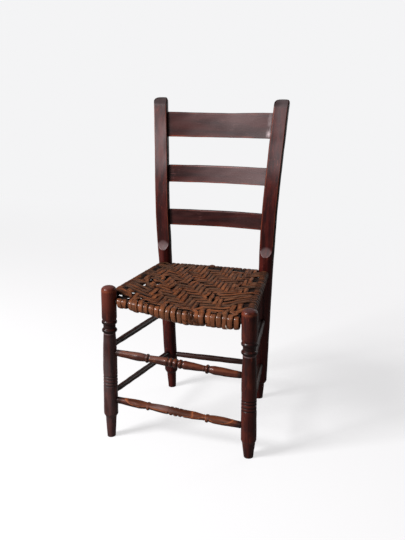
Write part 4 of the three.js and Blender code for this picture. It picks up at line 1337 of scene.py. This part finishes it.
def loop_strip(place, is_warp, up, crossings, seed, extra_hang=0.0):
    """One strip as rows of points, their grain and how deep each one lies in the weave: below 0 is proud."""
    draw = np.random.default_rng(1000 + seed)
    slack = draw.uniform(0, 1.0, len(crossings)) ** 2 * 1.4
    order = slice(None, None, -1) if is_warp else slice(None)
    nodes = (1 - pulled_forward(place, crossings))[order] if is_warp else crossings
    nodes_below = (1 - crossings)[order] if is_warp else crossings
    top_share = np.linspace(0, 1, top_steps)
    below_share = np.linspace(1, 0, below_steps)
    lift_top = lifted(top_share, nodes, up[order], slack) * settle(top_share, not is_warp)
    lift_below = lifted(below_share, nodes_below, ~up[order], slack * 0.6) * settle(below_share, True)
    places = (place, place + step_aside, place - step_aside)
    path, after, before = [loop_path(p, is_warp, lift_top, lift_below, extra_hang) for p in places]
    side = after - before
    room = np.linalg.norm(side, axis=1) / (2 * step_aside)
    pitch = room * ((1 - 2 * corner_across) / warp_count if is_warp else (1 - 2 * corner_deep) / weft_count)
    side = unit(side)
    path = path + side * (ripple(path, 60, 300 + seed) * path_wander)[:, None]
    full = (warp_width if is_warp else weft_width) * draw.uniform(0.95, 1.05)
    wraps = np.ones(wrap_steps)
    flat_top, flat_below = (
        1 - ease(np.minimum(share, 1 - share), 0.03, 0.16) for share in (top_share, below_share))
    by_rail = np.concatenate([flat_top, wraps, flat_below, wraps])
    full = full + (0.0 if is_warp else wider_by_rail) * by_rail
    wander = (1 + width_wander * ripple(path, 26, 400 + seed)).clip(0.7, 1.12)
    widths = np.minimum(full, pitch * 0.98) * wander
    top, below = slice(0, top_steps), slice(top_steps + wrap_steps, top_steps + wrap_steps + below_steps)
    push_aside(path, side, top, top_holes, full[top], top_near, is_warp)
    push_aside(path, side, below, below_holes, full[below], below_near, is_warp)
    onward = unit(np.roll(path, -1, 0) - np.roll(path, 1, 0))
    outward = unit(np.cross(onward, side))
    side = unit(np.cross(outward, onward))
    crowns = crown_height + 0.25 * ripple(path, 30, 500 + seed)
    turns = 0.05 * ripple(path, 40, 600 + seed)
    if not is_warp:
        turns = turns - crown_turn * bell(path[:, 1], 0, 6) * (path[:, 2] > RAILS["front"]["end"][2])
    rows, grain = strip_skin(path, outward, side, widths, crowns, turns, seed)
    flat = np.zeros(wrap_steps)
    lifts = np.concatenate([lift_top, flat, lift_below, flat]) / weave_rise
    beside = np.abs(grain[..., 0] - seed * grain_step) / (widths[:, None] / 2)
    return rows, grain, depth_in_weave(lifts, beside)


def loops_to_piece(name, loops, marks_of, material, nodes=()):
    """Joins many closed loops into one piece. The last ring of a loop is its first one again."""
    points, faces, grains, marks, first = [], [], [], {}, 0
    for k, (rows, grain, sunk) in enumerate(loops):
        ring_rows = np.concatenate([rows, rows[:1]])
        flat, quads = skin(ring_rows, closed_ends=False)
        around = rows.shape[1]
        count = len(rows) * around
        quads = np.where(quads >= count, quads - count, quads)
        points.append(flat[:count])
        faces.append(quads + first)
        grains.append(grain.reshape(-1, 3))
        for label, values in marks_of(k, flat[:count], sunk.ravel()).items():
            marks.setdefault(label, []).append(np.broadcast_to(values, count))
        first += count
    marks = {label: np.concatenate(values) for label, values in marks.items()}
    points, faces, grains = np.concatenate(points), np.concatenate(faces)[:, ::-1], np.concatenate(grains)
    return make_piece(name, points, faces, grains, marks, material, nodes)


# %% [markdown]
# ## The bark's finish
# Bark strips have long fibres, and old ones go from grey-brown to orange where sitters polish them.
# Each strip has its own warmth. The floats that stand proud are paler, partly rubbed and partly a
# painted highlight on their crowns, and painted shade lies along the edges and where strips cross. Two
# colours and a warmth for each point give all strips one material, which is less work than a material
# for each.

# %% Bark finish
def bark_finish():
    material, tree, shader = new_material("bark_strip")
    grain = place_group(tree, grain_streaks, Width=420.0, Length=14.0)
    warmth = mark(tree, "warmth")
    deep = blend(tree, warmth, look(36, 18, 12), look(62, 27, 13))
    bright = blend(tree, warmth, look(82, 50, 34), look(124, 67, 37))
    colour = blend(tree, grain["Streaks"], deep, bright)
    colour = blend(tree, times(tree, grain["Fibres"], 0.35), colour, deep)
    worn = place_group(tree, scuffs, Amount=0.4, Scratches=0.8)["Mask"]
    colour = blend(tree, worn, colour, look(104, 70, 48))
    proud = blend(tree, warmth, look(112, 80, 60), look(146, 90, 56))
    # Proud floats are paler: partly rubbed, partly a painted highlight.
    colour = blend(tree, times(tree, mark(tree, "proud"), 0.5), colour, proud)
    rubbed = place_group(tree, rubbed_crests, Amount=0.35)["Mask"]
    colour = blend(tree, rubbed, colour, look(142, 92, 58))
    # Hollows: dirt and painted shade.
    colour = blend(tree, place_group(tree, hollow_dirt_and_shade, Amount=0.9)["Mask"], colour, look(18, 11, 8))
    # The shade mark is mostly painted shade where strips dive and along their edges.
    colour = blend(tree, mark(tree, "shade"), colour, look(16, 10, 8))
    colour = blend(tree, mark(tree, "pale"), colour, look(190, 178, 166))
    tree.links.new(colour, shader.inputs["Base Color"])
    gloss = place_group(tree, uneven_gloss, Roughness=0.55, Spread=0.3)["Roughness"]
    polished = times(tree, mark(tree, "polish"), -0.24)
    tree.links.new(maths(tree, "ADD", gloss, polished), shader.inputs["Roughness"])
    shader.inputs["Specular IOR Level"].default_value = 0.1
    coat = maths(tree, "ADD", times(tree, mark(tree, "polish"), 0.32), 0.02)
    tree.links.new(coat, shader.inputs["Coat Weight"])
    shader.inputs["Coat Roughness"].default_value = 0.2
    height = maths(tree, "ADD", grain["Fibres"], times(tree, grain["Streaks"], 0.6))
    bump = put(tree, "ShaderNodeBump", Height=height, Strength=0.5, Distance=0.0005)
    tree.links.new(bump.outputs[0], shader.inputs["Normal"])
    return material


bark_strip = bark_finish()
print("finish:", bark_strip.name)

# %% Weave the seat
hangs = draw.normal(0, 1.0, warp_count)
left_hangs, right_hangs = [5.0, 3.5, 2.5, 4.0], [1.5, 4.0, 7.0, 7.0, 5.0]
hangs[:4] += left_hangs
hangs[-5:] += right_hangs
warp_warmth = draw.uniform(0.15, 0.9, warp_count)
weft_warmth = draw.uniform(0.1, 0.8, weft_count)
warp_loops = [
    loop_strip(place, True, over[k], weft_places, k, hangs[k]) for k, place in enumerate(warp_places)]
weft_loops = [
    loop_strip(place, False, ~over[:, j], warp_places, 40 + j) for j, place in enumerate(weft_places)]


def seat_marks(warmth):
    def marks(k, points, sunk):
        front = bell(points[:, 1], -8, 22)
        patch = 0.25 * ripple(points, 60, 700 + k)
        back_left = ease(points[:, 1] - points[:, 0] * 0.8, 300, 430) * 0.4
        blotch = np.clip(ripple(points, 30, 900 + k), 0, 1.4) * 0.22
        # Shade: painted shade where a strip dives and along its edges, and random darker blotches.
        shade = np.clip(sunk + blotch * (sunk > -0.5), 0, 0.95)
        cloudy = (0.75 + 0.5 * ripple(points, 22, 800 + k)).clip(0, 1)
        # Proud floats are paler, partly rubbed and partly a painted highlight on their crowns; the front
        # wraps also get one.
        proud = np.clip(-sunk, 0, 1) * cloudy * (1 - 0.6 * back_left)
        proud = np.maximum(proud, front * 0.6 * ease(-sunk, -0.2, 0.05))
        warm = np.clip(warmth[k] + patch + front * 0.45 - back_left, 0, 1)
        return dict(no_marks, warmth=warm, shade=shade, polish=front, proud=proud)
    return marks


loops_to_piece("warp_strips", warp_loops, seat_marks(warp_warmth), bark_strip, ["woven_seat"])
loops_to_piece("weft_strips", weft_loops, seat_marks(weft_warmth), bark_strip)

# %% [markdown]
# ## Loose strands
# A few ends have worked free. One hangs as a crescent under the front roll, one makes a second loop
# on it, one stands up over the back rail, and two pale splinters stick out at the front. Hair curves
# could do it, but a strand has the width and the finish of the bark, so each is a strip laid along a
# soft curve through a few chosen points.

# %% Loose strands
strand_thick, strand_around, steps_a_point, smoothings = 1.1, 12, 12, 40
STRANDS = {
    "crescent": dict(width=4.6, dark=0.1, outward=(0, -1, -0.5), points=[
        (14, -5, 376), (22, -9, 370), (35, -11, 365.5), (52, -11, 362.5), (68, -10, 363.5), (80, -8, 367),
        (90, -4, 373)]),
    "second_loop": dict(width=5.5, dark=0.1, outward=(0, -1, 0.1), points=[
        (37, -6, 398), (38, -12.5, 396.5), (39, -15.6, 390), (40, -14.8, 382), (42, -12.8, 376),
        (47, -11.8, 374.5), (50.5, -13, 379), (50.5, -13.5, 386)]),
    "raised_end": dict(width=5.0, dark=0.2, outward=(0, -0.5, 1), points=[
        (-32, 350, 411), (-24, 356, 414), (-13, 361, 418), (-4, 361, 417.5), (5, 355, 412)]),
    "splinter": dict(width=2.2, dark=-0.6, outward=(0, -1, -0.3), points=[
        (131, -4, 370), (136, -7, 364), (141, -8, 360.5), (146, -7, 360)]),
    "short_splinter": dict(width=1.8, dark=-0.5, outward=(0, -1, -0.3), points=[
        (134, -5, 371), (137, -8, 364), (138, -9, 361), (138, -9, 358.5)]),
}


def loose_strand(width, outward, points, seed):
    """A strip along a soft curve near its points."""
    points = np.array(points, float)
    along = np.linspace(0, len(points) - 1, steps_a_point * len(points))
    path = np.stack([np.interp(along, np.arange(len(points)), points[:, k]) for k in range(3)], -1)
    for _ in range(smoothings):
        path[1:-1] = (path[:-2] + 2 * path[1:-1] + path[2:]) / 4
    onward = unit(np.gradient(path, axis=0))
    side = unit(np.cross(onward, np.broadcast_to(outward, path.shape)))
    facing = unit(np.cross(side, onward))
    share = np.linspace(0, 1, len(path))
    widths = width * (1 + 0.15 * ripple(path, 12, seed)) * (0.35 + 0.65 * np.sin(np.pi * share) ** 0.4)
    travelled = np.concatenate([[0], np.cumsum(np.linalg.norm(np.diff(path, axis=0), axis=1))])
    angle = 2 * np.pi * np.arange(strand_around) / strand_around
    sideways = widths[:, None] / 2 * np.cos(angle)
    out = strand_thick / 2 * np.sin(angle) + 0 * sideways
    rows = path[:, None] + sideways[..., None] * side[:, None] + out[..., None] * facing[:, None]
    grain = np.stack([sideways, out, travelled[:, None] + 0 * sideways], -1) + seed * grain_step
    return closed(rows, grain)


# Dark below 0 makes a strand pale.
strand_points, strand_faces, strand_grain, strand_dark, first = [], [], [], [], 0
for k, strand in enumerate(STRANDS.values()):
    points, faces, grain = loose_strand(strand["width"], strand["outward"], strand["points"], seed=91 + k)
    strand_points.append(points)
    strand_faces.append(faces + first)
    strand_grain.append(grain)
    strand_dark.append(np.full(len(points), strand["dark"]))
    first += len(points)
strand_dark = np.concatenate(strand_dark)
strand_marks = dict(no_marks, warmth=0.45, polish=0.15, proud=0.5, shade=np.maximum(strand_dark, 0),
                    pale=np.maximum(-strand_dark, 0))
make_piece("loose_strands", np.concatenate(strand_points), np.concatenate(strand_faces),
           np.concatenate(strand_grain), strand_marks, bark_strip)

# %% [markdown]
# ## Floor and light
# A pale floor, four soft lamps and an even white room. The brightest lamp stands high in front, on
# the left as the chair is seen, and gives the long sheen on the finish, to which a grey sheen painted
# on the slats and rear posts adds. A weak one beside it fills the fronts, and two weak ones behind draw
# the thin bright edges. More light could make the floor white, but it would bleach the chair. So the
# camera alone sees the floor and the room as paper: a light path tells the shader which rays come from
# the camera.

# %% Floor
floor_mesh = bpy.data.meshes.new("floor")
reach = 6.0
corners = [(-reach, -reach, 0), (reach, -reach, 0), (reach, reach, 0), (-reach, reach, 0)]
floor_mesh.from_pydata(corners, [], [(0, 1, 2, 3)])
floor = bpy.data.objects.new("floor", floor_mesh)
bpy.context.scene.collection.objects.link(floor)
floor_paint, floor_tree, floor_shader = new_material("floor_paint")
floor_shader.inputs["Roughness"].default_value = 0.7
wall_tone, floor_paper = look(244, 244, 245), 0.66
paper = put(floor_tree, "ShaderNodeEmission", Strength=1.0)
from_camera = put(floor_tree, "ShaderNodeLightPath").outputs["Is Camera Ray"]
floor_colour = blend(floor_tree, from_camera, look(140, 138, 136), look(240, 239, 240))
floor_tree.links.new(floor_colour, floor_shader.inputs["Base Color"])
floor_place = put(floor_tree, "ShaderNodeNewGeometry").outputs["Position"]
how_far_back = put(floor_tree, "ShaderNodeSeparateXYZ", Vector=floor_place).outputs["Y"]
behind = steps(floor_tree, how_far_back, 0.4, 3.0)
floor_tree.links.new(blend(floor_tree, behind, look(253, 252, 253), wall_tone), paper.inputs["Color"])
papered = maths(floor_tree, "ADD", times(floor_tree, behind, 1 - floor_paper), floor_paper)
seen = floor_tree.nodes.new("ShaderNodeMixShader")
floor_tree.links.new(times(floor_tree, from_camera, papered), seen.inputs[0])
floor_tree.links.new(floor_shader.outputs[0], seen.inputs[1])
floor_tree.links.new(paper.outputs[0], seen.inputs[2])
floor_tree.links.new(seen.outputs[0], floor_tree.nodes["Material Output"].inputs["Surface"])
floor_mesh.materials.append(floor_paint)
print("the floor is", 2 * reach, "m wide")

# %% Room and lamps
world = bpy.data.worlds.new("white_room")
bpy.context.scene.world = world
world.use_nodes = True
room_light = 0.2
room_tree = world.node_tree
background = room_tree.nodes["Background"]
background.inputs["Color"].default_value = wall_tone
from_camera = put(room_tree, "ShaderNodeLightPath").outputs["Is Camera Ray"]
strength = maths(room_tree, "ADD", times(room_tree, from_camera, 1 - room_light), room_light)
room_tree.links.new(strength, background.inputs["Strength"])


def soft_lamp(name, place, size, power):
    lamp = bpy.data.lights.new(name, "AREA")
    lamp.shape, lamp.size, lamp.energy = "SQUARE", size, power
    stand = bpy.data.objects.new(name, lamp)
    bpy.context.scene.collection.objects.link(stand)
    stand.location = place
    stand.rotation_euler = (Vector((0, 0, 0.4)) - Vector(place)).to_track_quat("-Z", "Y").to_euler()
    return stand


soft_lamp("window", (-2.4, -2.2, 2.5), 1.1, 250)
soft_lamp("wall", (-1.9, -3.2, 1.7), 1.4, 14)
soft_lamp("rim", (1.9, 2.4, 1.1), 1.0, 12)
soft_lamp("behind", (0.4, 3.4, 1.6), 2.2, 14)
bpy.context.scene.view_settings.view_transform = "Standard"

# %% [markdown]
# ## Finish
# The last step brings the scene up to date.

# %% Finish
bpy.context.view_layer.update()
